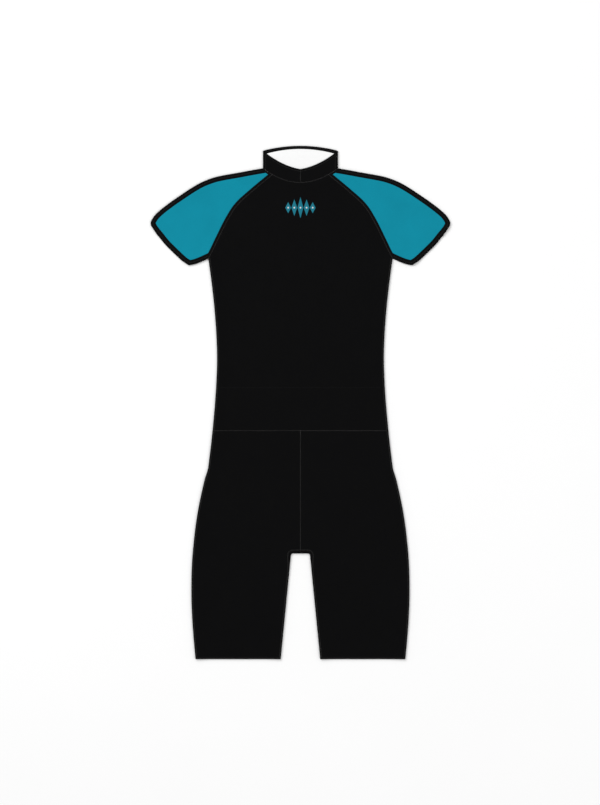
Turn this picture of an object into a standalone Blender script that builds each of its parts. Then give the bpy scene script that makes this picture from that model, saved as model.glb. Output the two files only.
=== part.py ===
"""A short-sleeved, thigh-length unitard laid out flat on its back.

X runs to the wearer's left, Y from the leg hems to the collar and Z up from the surface that it lies on.
The back panels lie flat on that surface, roll round the garment's folded edges and are sewn to the front
panels a few millimetres in from the edge. The front panels lie over them and sink towards them away from
the folds and the collar. Sizes are in millimetres until a mesh is made. A place is (x, up): x from the
centre line and up from the leg hems.
"""

import math
from collections import namedtuple

import bmesh
import bpy
import numpy as np
from mathutils import Vector
from mathutils.geometry import delaunay_2d_cdt

MM = 0.001
LENGTH = 1026.7  # from the leg hems to the top of the collar
MIDDLE = LENGTH / 2  # the height above the hems that Y is measured from

# Cloth and seams
CLOTH = 1.2  # thickness of every knit panel
SEAM = 0.3  # between the cut edges of two pieces that are sewn together
FOLD_RADIUS = 2.4  # of the outer face where a back panel rolls round the garment's edge
REACH = 3.0  # from the garment's edge to the seam on the front
CROTCH_REACH = 7.0  # the same at the crotch
AIR = 0.5  # between the back panels and the front panels where these lie lowest
LOFT_FOLD = 30.0  # how far from a folded edge the front panels come down to there
LOFT_NECK = 45.0  # how far from the neck seam they do

# Bands that frame the teal sleeves
OVERARM_BAND = 10.2
CUFF_BAND = 10.8
UNDERARM_BAND = 10.0
RAGLAN_TAPE = 5.5
NECK_TAPE = 4.5  # where the raglan tapes turn along the neck, up to the overarm band

# Neck and collar
COLLAR_HALF = 75.0
NECK_SIDE = 981.9  # height of the neck seam at the sides of the collar
NECK_DROP_FRONT = 28.6  # how far it dips to the centre front
NECK_RISE_BACK = 3.0  # how far it rises to the centre back
COLLAR_SIDE = 1017.0  # height of the collar's top edge at its sides
COLLAR_FRONT = 980.0  # and at the centre front
COLLAR_DIP_SLOPE = 0.17  # of that edge beside the centre front
RAGLAN_NECK_FRONT = 56.0
RAGLAN_NECK_BACK = 50.0
EDGE_TAPE = 6.3
EDGE_TAPE_MORE = 1.7  # wider by this at the sides of the collar
EDGE_TAPE_LAYER = (1.5, 3.2)
FACING_LAYER = (2.2, 3.2)
FACING_LOW = 974.5
FACING_HALF = 72.2

# Waist, crotch and hems
HIP_SEAM = 457.0
HIP_CLEAR = 5.0  # between that seam's end and the next point up or down the side
CROTCH = 211.3
CROTCH_HALF = 19.1
CROTCH_ROUND = 4.0
CROTCH_FADE = 30.0  # down the inside of the leg, from the crotch's reach to the side seams'
HEM_INNER = 39.5

# Centre-back zip
ZIP_HALF = 6.15
ZIP_LOW = 541.0
ZIP_POINT = 6.0  # how far the halves of the back take to come together below it
TAPE_LAYER = (0.2, 1.2)
SLIDER_TOP = 1019.0
SLIDER_LONG = 9.0
SLIDER_HALF = 2.9
SLIDER_WAIST = 0.75  # share of that width at the pull's end
SLIDER_NOSE = 0.8  # and at the other end
SLIDER_WIDEST = 0.7  # how far along it is widest
SLIDER_TALL = 1.8
PULL_LONG = 27.0
PULL_HALF = 2.6
PULL_THICK = 0.9
PULL_SLOT_HALF = 3.3
SLOT_CLEAR = 1.0  # between the slider with its pull and the ends of the slot for them

# How closely the shapes are worked out
STEP = 15.0  # between the points along an outline
NECK_STEP = 10.0  # the same round the neck and the collar's edges
COLLAR_STEP = 12.0  # up the collar's sides
ZIP_STEP = 60.0  # along the zip
FOLD_STEP = 8.0  # along the sides, for how far a place is from them
SLIDER_STEP = 2.0  # round the slider
FACET = 4.0  # across the cloth between a folded edge and its seam
ROUND_POINTS = 5  # round the crotch's corner
PULL_POINTS = 7  # round the ribbon's end
ARC_SIDES = 6  # facets round a folded edge
GRID = 12.0  # between the inner points of a front panel near a fold
SPARSE = 4  # and how many times that elsewhere
NEAREST = 1.0  # the least space from a line's end to its next point
LONGER = 30.0  # how far lines are carried on to find where they meet
PARALLEL = 0.06  # sine of the turn below which two sides count as one straight line
SHARP = math.radians(40)  # edges sharper than this stay sharp in the shading

Side = namedtuple("Side", "up half")
SIDE_ROWS = (
    Side(0, 209.9),
    Side(37, 213.3),
    Side(77, 216.3),
    Side(117, 218.0),
    Side(157, 218.1),
    Side(197, 216.7),
    Side(237, 213.2),
    Side(277, 208.3),
    Side(317, 201.2),
    Side(357, 192.2),
    Side(380, 185.3),
    Side(397, 182.9),
    Side(437, 178.1),
    Side(477, 174.0),
    Side(517, 170.6),
    Side(557, 168.1),
    Side(597, 166.8),
    Side(637, 167.7),
    Side(677, 170.1),
    Side(717, 173.6),
    Side(757, 178.3),
    Side(801.2, 184.2),
)

Place = namedtuple("Place", "x up")
ARMPIT = Place(184.2, 801.2)
CUFF_INNER = Place(223.6, 787.8)
CUFF_OUTER = Place(298.9, 866.8)
OVERARM_PLACES = (
    CUFF_OUTER,
    Place(299.4, 874.5),
    Place(292.0, 887.1),
    Place(280.0, 898.7),
    Place(260.0, 914.1),
    Place(240.0, 927.9),
    Place(220.0, 941.2),
    Place(200.0, 952.8),
    Place(180.0, 961.1),
    Place(160.0, 966.6),
    Place(120.0, 973.8),
    Place(100.0, 977.6),
    Place(COLLAR_HALF, NECK_SIDE),
)
CUFF_PLACES = (
    CUFF_INNER,
    Place(232.0, 792.6),
    Place(244.4, 803.4),
    Place(268.9, 827.4),
    Place(282.1, 843.4),
    Place(294.9, 859.4),
    CUFF_OUTER,
)
UNDERARM_PLACES = (ARMPIT, Place(194.0, 796.6), Place(206.0, 791.7), Place(216.0, 788.8), CUFF_INNER)
RAGLAN_LOW_PLACES = (Place(164.0, 842.0), Place(175.0, 819.0), ARMPIT)

BLACK = dict(colour=(0.003, 0.003, 0.0032), roughness=0.62, metallic=0.0)
TEAL = dict(colour=(0.0045, 0.225, 0.316), roughness=0.6, metallic=0.0)
PALE = dict(colour=(0.82, 0.82, 0.82), roughness=0.7, metallic=0.0)
TAPE = dict(colour=(0.015, 0.015, 0.016), roughness=0.8, metallic=0.0)
GUNMETAL = dict(colour=(0.08, 0.08, 0.085), roughness=0.35, metallic=1.0)


def neck_front(x):
    return NECK_SIDE - NECK_DROP_FRONT * (1 - (x / COLLAR_HALF) ** 2)


def neck_back(x):
    return NECK_SIDE + NECK_RISE_BACK * (1 - (x / COLLAR_HALF) ** 2)


def collar_arch(x):
    """The top edge of the back of the collar."""
    return COLLAR_SIDE + (LENGTH - COLLAR_SIDE) * (1 - (x / COLLAR_HALF) ** 2)


def collar_dip(x):
    """The top edge of the front of the collar, a soft V at the centre."""
    bend = (COLLAR_SIDE - COLLAR_FRONT - COLLAR_DIP_SLOPE * COLLAR_HALF) / COLLAR_HALF**2
    return COLLAR_FRONT + COLLAR_DIP_SLOPE * x + bend * x**2


def graph(height, start, end, step=STEP):
    """The line that a height makes from one x to another."""
    x = np.linspace(start, end, max(2, round(abs(end - start) / step) + 1))
    return np.stack([x, height(x)], 1)


def straight(*places, step=STEP):
    """Points along straight runs from place to place."""
    runs = [
        np.linspace(a, b, max(1, round(math.dist(a, b) / step)), endpoint=False)
        for a, b in zip(places, places[1:])
    ]
    return np.vstack([*runs, [places[-1]]])


def smooth(places, step=STEP):
    """Points along a smooth curve through the places."""
    p = np.array(places, float)
    p = np.vstack([2 * p[0] - p[1], p, 2 * p[-1] - p[-2]])
    points = []
    for a, b, c, d in zip(p, p[1:], p[2:], p[3:]):
        parts = max(1, round(np.linalg.norm(c - b) / step))
        for t in np.arange(parts) / parts:
            bend = (2 * a - 5 * b + 4 * c - d) * t**2 + (3 * b - a - 3 * c + d) * t**3
            points.append(b + ((c - a) * t + bend) / 2)
    return np.array([*points, p[-2]])


def cross(a, b):
    return a[..., 0] * b[..., 1] - a[..., 1] * b[..., 0]


def left_of(along):
    """Unit vectors to the left of some directions."""
    along = along / np.linalg.norm(along, axis=-1, keepdims=True)
    return np.stack([-along[..., 1], along[..., 0]], -1)


def beside(line, gap):
    """An open line moved to its left."""
    sides = left_of(np.diff(line, axis=0))
    sides = np.vstack([sides[:1], sides, sides[-1:]])
    middle = sides[:-1] + sides[1:]
    return line + 2 * gap * middle / (middle**2).sum(1)[:, None]


def longer(line, more=LONGER):
    """A line carried straight on past both ends."""
    first = line[0] + (line[0] - line[1]) * more / np.linalg.norm(line[0] - line[1])
    last = line[-1] + (line[-1] - line[-2]) * more / np.linalg.norm(line[-1] - line[-2])
    return np.vstack([first, line, last])


def meeting(line, other):
    """Where a line first meets another: how far along it, in points, and the place."""
    for i, (a, b) in enumerate(zip(line, line[1:])):
        c, d = other[:-1], other[1:]
        turn = cross(b - a, d - c)
        turn = np.where(np.abs(turn) < 1e-12, 1e-12, turn)
        t, u = cross(c - a, d - c) / turn, cross(c - a, b - a) / turn
        hits = t[(t >= 0) & (t <= 1) & (u >= 0) & (u <= 1)]
        if len(hits):
            return i + hits.min(), a + (b - a) * hits.min()
    raise ValueError("these lines do not meet")


def between(line, first, last):
    """The stretch of a line between the places where it meets two others."""
    line = longer(line)
    (i, start), (j, end) = (meeting(line, longer(other)) for other in (first, last))
    inner = line[math.floor(i) + 1 : math.ceil(j)]
    clear = [p for p in inner if min(math.dist(p, start), math.dist(p, end)) > NEAREST]
    return np.array([start, *clear, end])


def outline(parts):
    """Joins (line, gap) parts that follow each other round a piece, with its inside on their left.

    Gives the corners, and how far each is to move in from the side that ends at it and from the one that
    starts there.
    """
    points, before, after = [], [], []
    last = np.broadcast_to(parts[-1][1], len(parts[-1][0]))[-1]
    for line, gap in parts:
        gaps = np.broadcast_to(gap, len(line))
        points.extend(line[:-1])
        before.extend([last, *gaps[1:-1]])
        after.extend(gaps[:-1])
        last = gaps[-1]
    return np.array(points, float), np.array(before, float), np.array(after, float)


def inset(points, before, after, turned=None):
    """The corners of an outline moved inwards.

    turned gives other directions for sides: {corner: (before, after)}.
    """
    sides = left_of(np.roll(points, -1, 0) - points)
    a, b = sides.copy(), np.roll(sides, 1, 0)
    for corner, (side_before, side_after) in (turned or {}).items():
        if side_before is not None:
            b[corner] = left_of(np.array(side_before, float))
        if side_after is not None:
            a[corner] = left_of(np.array(side_after, float))
    turn = cross(b, a)
    bent = np.abs(turn) > PARALLEL
    turn = np.where(bent, turn, 1.0)
    x = (before * a[:, 1] - after * b[:, 1]) / turn
    y = (after * b[:, 0] - before * a[:, 0]) / turn
    level = (a + b) * ((before + after) / 2 / (1 + (a * b).sum(1)))[:, None]
    return points + np.where(bent[:, None], np.stack([x, y], 1), level)


def mirrored(parts):
    """The same parts on the other half, in the order that goes on round the piece."""
    return [
        (line[::-1] * (-1, 1), np.broadcast_to(gap, len(line))[::-1]) for line, gap in reversed(parts)
    ]


def distance(places, line):
    """How far each place is from a line."""
    nearest = np.full(len(places), np.inf)
    for a, b in zip(line, line[1:]):
        t = np.clip(((places - a) @ (b - a)) / max((b - a) @ (b - a), 1e-12), 0, 1)
        away = places - a - t[:, None] * (b - a)
        nearest = np.minimum(nearest, np.hypot(away[:, 0], away[:, 1]))
    return nearest


def within(places, rim):
    """Which places lie inside a closed outline."""
    found = np.zeros(len(places), bool)
    x, y = places[:, 0], places[:, 1]
    for a, b in zip(rim, np.roll(rim, -1, 0)):
        if a[1] != b[1]:
            at = a[0] + (y - a[1]) * (b[0] - a[0]) / (b[1] - a[1])
            found ^= ((a[1] > y) != (b[1] > y)) & (x < at)
    return found


# Lines of the wearer's left half. Each runs with the inside of the garment, or of the sleeve, on its left.
SIDE_LINE = smooth([Place(row.half, row.up) for row in SIDE_ROWS])
HIP_HALF = float(np.interp(HIP_SEAM, SIDE_LINE[:, 1], SIDE_LINE[:, 0]))
LEG_SIDE = np.vstack([SIDE_LINE[SIDE_LINE[:, 1] < HIP_SEAM - HIP_CLEAR], [(HIP_HALF, HIP_SEAM)]])
BODY_SIDE = np.vstack([[(HIP_HALF, HIP_SEAM)], SIDE_LINE[SIDE_LINE[:, 1] > HIP_SEAM + HIP_CLEAR]])
OVERARM = smooth(OVERARM_PLACES)
CUFF = smooth(CUFF_PLACES)
UNDERARM = smooth(UNDERARM_PLACES)
RAGLAN = smooth(
    [
        Place(RAGLAN_NECK_FRONT, neck_front(RAGLAN_NECK_FRONT)),
        Place(96.6, 935.7),
        Place(126.0, 908.5),
        Place(145.3, 879.2),
        *RAGLAN_LOW_PLACES,
    ]
)
RAGLAN_BACK = smooth(
    [
        Place(RAGLAN_NECK_BACK, neck_back(RAGLAN_NECK_BACK)),
        Place(93.0, 941.0),
        Place(126.5, 908.5),
        Place(146.5, 879.5),
        *RAGLAN_LOW_PLACES,
    ]
)
NECK_FRONT = graph(neck_front, 0, COLLAR_HALF, NECK_STEP)
NECK_BACK = graph(neck_back, 0, COLLAR_HALF, NECK_STEP)

NECK_LINE = beside(NECK_FRONT[::-1], NECK_TAPE)[::-1]
NECK_LINE_BACK = beside(NECK_BACK[::-1], NECK_TAPE)[::-1]
TAPE_LINE = beside(RAGLAN, RAGLAN_TAPE)
TAPE_LINE_BACK = beside(RAGLAN_BACK, RAGLAN_TAPE)
BAND_END = straight((COLLAR_HALF, NECK_SIDE), (COLLAR_HALF, NECK_SIDE - 2 * OVERARM_BAND))
OVERARM_LINE = beside(OVERARM, OVERARM_BAND)
CUFF_LINE = beside(CUFF, CUFF_BAND)
UNDERARM_LINE = beside(UNDERARM, UNDERARM_BAND)


def inner_leg():
    """The edge from the centre of the crotch round its corner and down the inside of the leg."""
    slope = math.atan2(HEM_INNER - CROTCH_HALF, CROTCH)
    turns = np.linspace(0, math.pi / 2 - slope, ROUND_POINTS)
    middle = (CROTCH_HALF - CROTCH_ROUND, CROTCH - CROTCH_ROUND)
    corner = [
        (middle[0] + CROTCH_ROUND * math.sin(a), middle[1] + CROTCH_ROUND * math.cos(a)) for a in turns
    ]
    return np.vstack([[(0, CROTCH)], corner[:-1], straight(corner[-1], (HEM_INNER, 0))])


INNER_LEG = inner_leg()


def crotch_reach():
    """How far in from that edge the seam on the front lies, point by point."""
    below = CROTCH - INNER_LEG[:, 1]
    share = np.clip(below / CROTCH_FADE, 0, 1)
    return CROTCH_REACH + (REACH - CROTCH_REACH) * share


FOLDS = (
    smooth(SIDE_LINE[::2], FOLD_STEP),
    UNDERARM,
    OVERARM,
    np.array([(COLLAR_HALF, NECK_SIDE), (COLLAR_HALF, COLLAR_SIDE)]),
    INNER_LEG,
)


def eased(share):
    """1 at 0 and 0 at 1, level at both."""
    share = np.clip(share, 0, 1)
    return (1 - share) ** 2 * (1 + 2 * share)


def under(places):
    """The height of the front panels' lower face over the surface that the garment lies on."""
    places = np.abs(places)
    fold = np.min([distance(places, line) for line in FOLDS], 0)
    edge = eased((fold - FOLD_RADIUS) / (LOFT_FOLD - FOLD_RADIUS))
    x, up = places[:, 0], places[:, 1]
    below = np.maximum(neck_front(np.minimum(x, COLLAR_HALF)) - up, 0)
    neck = eased(np.hypot(below, np.maximum(x - COLLAR_HALF, 0)) / LOFT_NECK)
    low = CLOTH + AIR
    high = 2 * FOLD_RADIUS - CLOTH
    return low + (high - low) * (1 - (1 - edge) * (1 - neck))


def inner_places(rim):
    """Points inside a front panel's outline, closer together near a fold."""
    low, high = rim.min(0), rim.max(0)
    x, y = (np.arange(math.ceil(a / GRID), math.floor(b / GRID) + 1) for a, b in zip(low, high))
    cells = np.stack(np.meshgrid(x, y), -1).reshape(-1, 2)
    places = cells * GRID
    coarse = (cells % SPARSE == 0).all(1)
    fold = np.min([distance(np.abs(places), line) for line in FOLDS], 0)
    near_neck = places[:, 1] > NECK_SIDE - NECK_DROP_FRONT - LOFT_NECK
    clear = distance(places, np.vstack([rim, rim[:1]])) > GRID / 3
    return places[within(places, rim) & clear & ((fold < LOFT_FOLD) | near_neck | coarse)]


def filled(rim, inner=()):
    """The places of an outline with those inside it, and triangles over them, all facing up."""
    sides = [(i, (i + 1) % len(rim)) for i in range(len(rim))]
    given = [Vector(place) for place in (*rim, *inner)]
    places, _, faces, origins, _, _ = delaunay_2d_cdt(given, sides, [], 1, 1e-5)
    number = {}
    for k, first in enumerate(origins):
        for origin in first:
            number[k] = origin
    if len(places) != len(given) or len(number) != len(given):
        raise ValueError("an outline crosses itself")
    return np.vstack([rim, *([inner] if len(inner) else [])]), [
        tuple(number[k] for k in face) for face in faces
    ]


def make(name, look, points, faces, mirror=False):
    """An object from points in millimetres, on the other side of the garment where mirror is true."""
    mesh = bpy.data.meshes.new(name)
    points = np.array(points, float) - (0, MIDDLE, 0)
    if mirror:
        points[:, 0] *= -1
        faces = [face[::-1] for face in faces]
    mesh.from_pydata((points * MM).tolist(), [], faces)
    body = bmesh.new()
    body.from_mesh(mesh)
    bmesh.ops.recalc_face_normals(body, faces=body.faces)
    body.to_mesh(mesh)
    body.free()
    mesh.shade_smooth()
    mesh.set_sharp_from_angle(angle=SHARP)
    mesh.materials.append(material(look))
    piece = bpy.data.objects.new(name, mesh)
    bpy.context.scene.collection.objects.link(piece)
    return piece


def material(look):
    name, values = look
    found = bpy.data.materials.get(name)
    if found:
        return found
    found = bpy.data.materials.new(name)
    found.use_nodes = True
    shader = found.node_tree.nodes["Principled BSDF"]
    shader.inputs["Base Color"].default_value = (*values["colour"], 1)
    shader.inputs["Roughness"].default_value = values["roughness"]
    shader.inputs["Metallic"].default_value = values["metallic"]
    found.diffuse_color = (*values["colour"], 1)
    return found


KNIT = ("black_knit", BLACK)
SLEEVE_KNIT = ("teal_knit", TEAL)
FACING_CLOTH = ("pale_facing", PALE)
ZIP_CLOTH = ("zip_tape", TAPE)
METAL = ("gunmetal", GUNMETAL)


def layered(places, faces, rim_count, low, high):
    """The points and faces of a sheet between two heights over the same places."""
    count = len(places)
    points = np.vstack([np.column_stack([places, low]), np.column_stack([places, high])])
    above = [tuple(k + count for k in face) for face in faces]
    below = [face[::-1] for face in faces]
    rim = [
        (i, (i + 1) % rim_count, (i + 1) % rim_count + count, i + count) for i in range(rim_count)
    ]
    return points, above + below + rim


def plate(name, look, parts, layer=(0.0, CLOTH), mirror=False):
    """A piece that lies level."""
    rim = inset(*outline(parts))
    places, faces = filled(rim)
    low, high = (np.full(len(places), height) for height in layer)
    return make(name, look, *layered(places, faces, len(rim), low, high), mirror)


def front(name, look, parts, mirror=False):
    """A front panel, which follows the height of the front."""
    rim = inset(*outline(parts))
    places, faces = filled(rim, inner_places(rim))
    low = under(places)
    return make(name, look, *layered(places, faces, len(rim), low, low + CLOTH), mirror)


def wrapped(name, look, parts, rolls, mirror=False, turned=None):
    """A back panel that rolls round the garment's edge to its seam on the front.

    rolls gives, for each part that is such an edge, how far in from it that seam lies. turned gives, for the
    layer on the front, other directions for the sides before and after the corner where a part starts.
    """
    points, before, after = outline(parts)
    count = len(points)
    starts = np.cumsum([0] + [len(line) - 1 for line, _ in parts])
    rolled = {}
    into, out = np.zeros(count, bool), np.zeros(count, bool)
    for part, reach in rolls.items():
        numbers = np.arange(starts[part], starts[part + 1] + 1) % count
        rolled[part] = (numbers, np.broadcast_to(reach, len(numbers)))
        out[numbers[:-1]] = True
        into[numbers[1:]] = True

    turned = {starts[part] % count: sides for part, sides in (turned or {}).items()}

    def at(depth, sides=None):
        return inset(points, np.where(into, depth, before), np.where(out, depth, after), sides)

    flat = at(FOLD_RADIUS)
    _, faces = filled(flat)
    vertices = [*np.column_stack([flat, np.zeros(count)]), *np.column_stack([flat, np.full(count, CLOTH)])]
    faces = [face[::-1] for face in faces] + [tuple(k + count for k in face) for face in faces]
    for i in range(count):
        if not out[i]:
            j = (i + 1) % count
            faces.append((i, j, j + count, i + count))

    for numbers, reach in rolled.values():
        outer, inner = [numbers.tolist()], [(numbers + count).tolist()]

        def add(places, heights, ring):
            start = len(vertices)
            vertices.extend(np.column_stack([places, heights]))
            ring.append(list(range(start, start + len(numbers))))

        for k in range(1, ARC_SIDES + 1):
            turn = math.pi * k / ARC_SIDES - math.pi / 2
            share = k / ARC_SIDES
            for radius, ring in ((FOLD_RADIUS, outer), (FOLD_RADIUS - CLOTH, inner)):
                depth = FOLD_RADIUS - radius * math.cos(turn)
                places = at(depth) * (1 - share) + at(depth, turned) * share
                add(places[numbers], np.full(len(numbers), FOLD_RADIUS + radius * math.sin(turn)), ring)
        far = reach - SEAM / 2
        legs = max(1, round((far.max() - FOLD_RADIUS) / FACET))
        for k in range(1, legs + 1):
            depth = np.zeros(count)
            depth[numbers] = FOLD_RADIUS + (far - FOLD_RADIUS) * k / legs
            places = at(depth, turned)[numbers]
            low = under(places)
            add(places, low + CLOTH, outer)
            add(places, low, inner)
        for skin in (outer, inner):
            for here, there in zip(skin, skin[1:]):
                for i in range(len(numbers) - 1):
                    faces.append((here[i], here[i + 1], there[i + 1], there[i]))
        for i in range(len(numbers) - 1):
            faces.append((outer[-1][i], outer[-1][i + 1], inner[-1][i + 1], inner[-1][i]))
        for end in (0, -1):
            for k in range(len(outer) - 1):
                faces.append((outer[k][end], outer[k + 1][end], inner[k + 1][end], inner[k][end]))
    return make(name, look, vertices, faces, mirror)


HALF_SEAM = SEAM / 2
OPEN = 0.0
ON_FOLD = REACH + HALF_SEAM


def body():
    right = [
        (BODY_SIDE, ON_FOLD),
        (RAGLAN[::-1], HALF_SEAM),
        (graph(neck_front, RAGLAN_NECK_FRONT, 0, NECK_STEP), HALF_SEAM),
    ]
    waist = straight((-HIP_HALF, HIP_SEAM), (HIP_HALF, HIP_SEAM))
    front("front_body", KNIT, [*right, *mirrored(right), (waist, HALF_SEAM)])
    for side, mirror in (("left", False), ("right", True)):
        zip_edge = straight(
            (ZIP_HALF, neck_back(ZIP_HALF)),
            (ZIP_HALF, ZIP_LOW),
            (0, ZIP_LOW - ZIP_POINT),
            (0, HIP_SEAM),
            step=ZIP_STEP,
        )
        parts = [
            (BODY_SIDE, FOLD_RADIUS),
            (RAGLAN_BACK[::-1], HALF_SEAM),
            (graph(neck_back, RAGLAN_NECK_BACK, ZIP_HALF, NECK_STEP), HALF_SEAM),
            (zip_edge, HALF_SEAM),
            (straight((0, HIP_SEAM), (HIP_HALF, HIP_SEAM)), HALF_SEAM),
        ]
        wrapped(f"back_body_{side}", KNIT, parts, {0: REACH}, mirror)


def sleeve(side, mirror):
    teal_front = [
        (between(TAPE_LINE, NECK_LINE, UNDERARM_LINE), HALF_SEAM),
        (between(UNDERARM_LINE, TAPE_LINE, CUFF_LINE), HALF_SEAM),
        (between(CUFF_LINE, UNDERARM_LINE, OVERARM_LINE), HALF_SEAM),
        (between(OVERARM_LINE, CUFF_LINE, NECK_LINE), HALF_SEAM),
        (between(NECK_LINE[::-1], OVERARM_LINE, TAPE_LINE), HALF_SEAM),
    ]
    front(f"sleeve_front_{side}", SLEEVE_KNIT, teal_front, mirror)
    teal_back = [
        (between(TAPE_LINE_BACK, NECK_LINE_BACK, UNDERARM_LINE), HALF_SEAM),
        (between(UNDERARM_LINE, TAPE_LINE_BACK, CUFF_LINE), HALF_SEAM),
        (between(CUFF_LINE, UNDERARM_LINE, OVERARM_LINE), HALF_SEAM),
        (between(OVERARM_LINE, CUFF_LINE, BAND_END), HALF_SEAM),
        (between(BAND_END[::-1], OVERARM_LINE, NECK_LINE_BACK), HALF_SEAM),
        (between(NECK_LINE_BACK[::-1], BAND_END, TAPE_LINE_BACK), HALF_SEAM),
    ]
    plate(f"sleeve_back_{side}", SLEEVE_KNIT, teal_back, mirror=mirror)


def sleeve_bands(side, mirror):
    neck_slope = 2 * NECK_DROP_FRONT / COLLAR_HALF
    overarm = [
        (OVERARM, FOLD_RADIUS),
        (between(BAND_END, OVERARM, OVERARM_LINE), HALF_SEAM),
        (between(OVERARM_LINE[::-1], BAND_END, CUFF), HALF_SEAM),
        (between(CUFF, OVERARM_LINE, OVERARM), OPEN),
    ]
    wrapped(
        f"overarm_band_{side}",
        KNIT,
        overarm,
        {0: OVERARM_BAND},
        mirror,
        turned={1: (None, (-1, -neck_slope))},
    )
    cuff = [
        (between(CUFF, UNDERARM_LINE, OVERARM_LINE), OPEN),
        (between(OVERARM_LINE, CUFF, CUFF_LINE), HALF_SEAM),
        (between(CUFF_LINE[::-1], OVERARM_LINE, UNDERARM_LINE), HALF_SEAM),
        (between(UNDERARM_LINE, CUFF_LINE, CUFF), HALF_SEAM),
    ]
    front(f"cuff_band_front_{side}", KNIT, cuff, mirror)
    plate(f"cuff_band_back_{side}", KNIT, cuff, mirror=mirror)
    underarm = [
        (between(UNDERARM, TAPE_LINE, CUFF), FOLD_RADIUS),
        (between(CUFF, UNDERARM, UNDERARM_LINE), OPEN),
        (between(UNDERARM_LINE[::-1], CUFF, TAPE_LINE), HALF_SEAM),
        (between(TAPE_LINE, UNDERARM_LINE, UNDERARM), HALF_SEAM),
    ]
    wrapped(f"underarm_band_{side}", KNIT, underarm, {0: UNDERARM_BAND}, mirror)


def raglan_tapes(side, mirror):
    front_tape = [
        (RAGLAN, HALF_SEAM),
        (between(UNDERARM, RAGLAN, TAPE_LINE), ON_FOLD),
        (between(TAPE_LINE[::-1], UNDERARM, NECK_LINE), HALF_SEAM),
        (between(NECK_LINE, TAPE_LINE, OVERARM_LINE), HALF_SEAM),
        (between(OVERARM_LINE, NECK_LINE, NECK_FRONT), HALF_SEAM),
        (between(NECK_FRONT[::-1], OVERARM_LINE, RAGLAN), HALF_SEAM),
    ]
    front(f"raglan_tape_front_{side}", KNIT, front_tape, mirror)
    back_tape = [
        (RAGLAN_BACK, HALF_SEAM),
        (between(UNDERARM, RAGLAN_BACK, TAPE_LINE_BACK), FOLD_RADIUS),
        (between(TAPE_LINE_BACK[::-1], UNDERARM, NECK_LINE_BACK), HALF_SEAM),
        (between(NECK_LINE_BACK, TAPE_LINE_BACK, BAND_END), HALF_SEAM),
        (between(BAND_END[::-1], NECK_LINE_BACK, NECK_BACK), HALF_SEAM),
        (between(NECK_BACK[::-1], BAND_END, RAGLAN_BACK), HALF_SEAM),
    ]
    wrapped(f"raglan_tape_back_{side}", KNIT, back_tape, {1: REACH}, mirror)


def collar(side, mirror):
    edge = straight((COLLAR_HALF, NECK_SIDE), (COLLAR_HALF, COLLAR_SIDE), step=COLLAR_STEP)
    centre = straight((0, COLLAR_FRONT), (0, neck_front(0)))
    front_half = [
        (graph(neck_front, 0, COLLAR_HALF, NECK_STEP), HALF_SEAM),
        (edge, ON_FOLD),
        (graph(collar_dip, COLLAR_HALF, 0, NECK_STEP), OPEN),
        (centre, HALF_SEAM),
    ]
    front(f"collar_front_{side}", KNIT, front_half, mirror)
    back_half = [
        (graph(neck_back, ZIP_HALF, COLLAR_HALF, NECK_STEP), HALF_SEAM),
        (edge, FOLD_RADIUS),
        (graph(collar_arch, COLLAR_HALF, ZIP_HALF, NECK_STEP), OPEN),
        (straight((ZIP_HALF, collar_arch(ZIP_HALF)), (ZIP_HALF, neck_back(ZIP_HALF))), HALF_SEAM),
    ]
    neck_slope = 2 * NECK_DROP_FRONT / COLLAR_HALF
    dip = graph(collar_dip, COLLAR_HALF, 0, NECK_STEP)
    turned = {1: ((1, neck_slope), None), 2: (None, dip[1] - dip[0])}
    wrapped(f"collar_back_{side}", KNIT, back_half, {1: REACH}, mirror, turned)


def collar_inside():
    def low_edge(x):
        return collar_arch(x) - EDGE_TAPE - EDGE_TAPE_MORE * (x / COLLAR_HALF) ** 2

    for side, mirror in (("left", False), ("right", True)):
        tape = [
            (graph(low_edge, 0, FACING_HALF, NECK_STEP), HALF_SEAM),
            (straight((FACING_HALF, low_edge(FACING_HALF)), (FACING_HALF, collar_arch(FACING_HALF))), OPEN),
            (graph(collar_arch, FACING_HALF, 0, NECK_STEP), OPEN),
            (straight((0, LENGTH), (0, LENGTH - EDGE_TAPE)), HALF_SEAM),
        ]
        plate(f"collar_edge_tape_{side}", KNIT, tape, EDGE_TAPE_LAYER, mirror)
    facing = [
        (straight((-FACING_HALF, FACING_LOW), (FACING_HALF, FACING_LOW)), OPEN),
        (straight((FACING_HALF, FACING_LOW), (FACING_HALF, low_edge(FACING_HALF))), OPEN),
        (graph(low_edge, FACING_HALF, -FACING_HALF, NECK_STEP), HALF_SEAM),
        (straight((-FACING_HALF, low_edge(FACING_HALF)), (-FACING_HALF, FACING_LOW)), OPEN),
    ]
    plate("collar_facing", FACING_CLOTH, facing, FACING_LAYER)


def shorts(side, mirror):
    hem = straight((HEM_INNER, 0), (SIDE_ROWS[0].half, 0))
    waist = straight((HIP_HALF, HIP_SEAM), (0, HIP_SEAM))
    centre = straight((0, HIP_SEAM), (0, CROTCH))
    reach = crotch_reach()
    front_half = [
        (LEG_SIDE, ON_FOLD),
        (waist, HALF_SEAM),
        (centre, HALF_SEAM),
        (INNER_LEG, reach + HALF_SEAM),
        (hem, OPEN),
    ]
    front(f"shorts_front_{side}", KNIT, front_half, mirror)
    back_half = [
        (LEG_SIDE, FOLD_RADIUS),
        (waist, HALF_SEAM),
        (centre, HALF_SEAM),
        (INNER_LEG, FOLD_RADIUS),
        (hem, OPEN),
    ]
    wrapped(f"shorts_back_{side}", KNIT, back_half, {0: REACH, 3: reach}, mirror)


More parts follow.
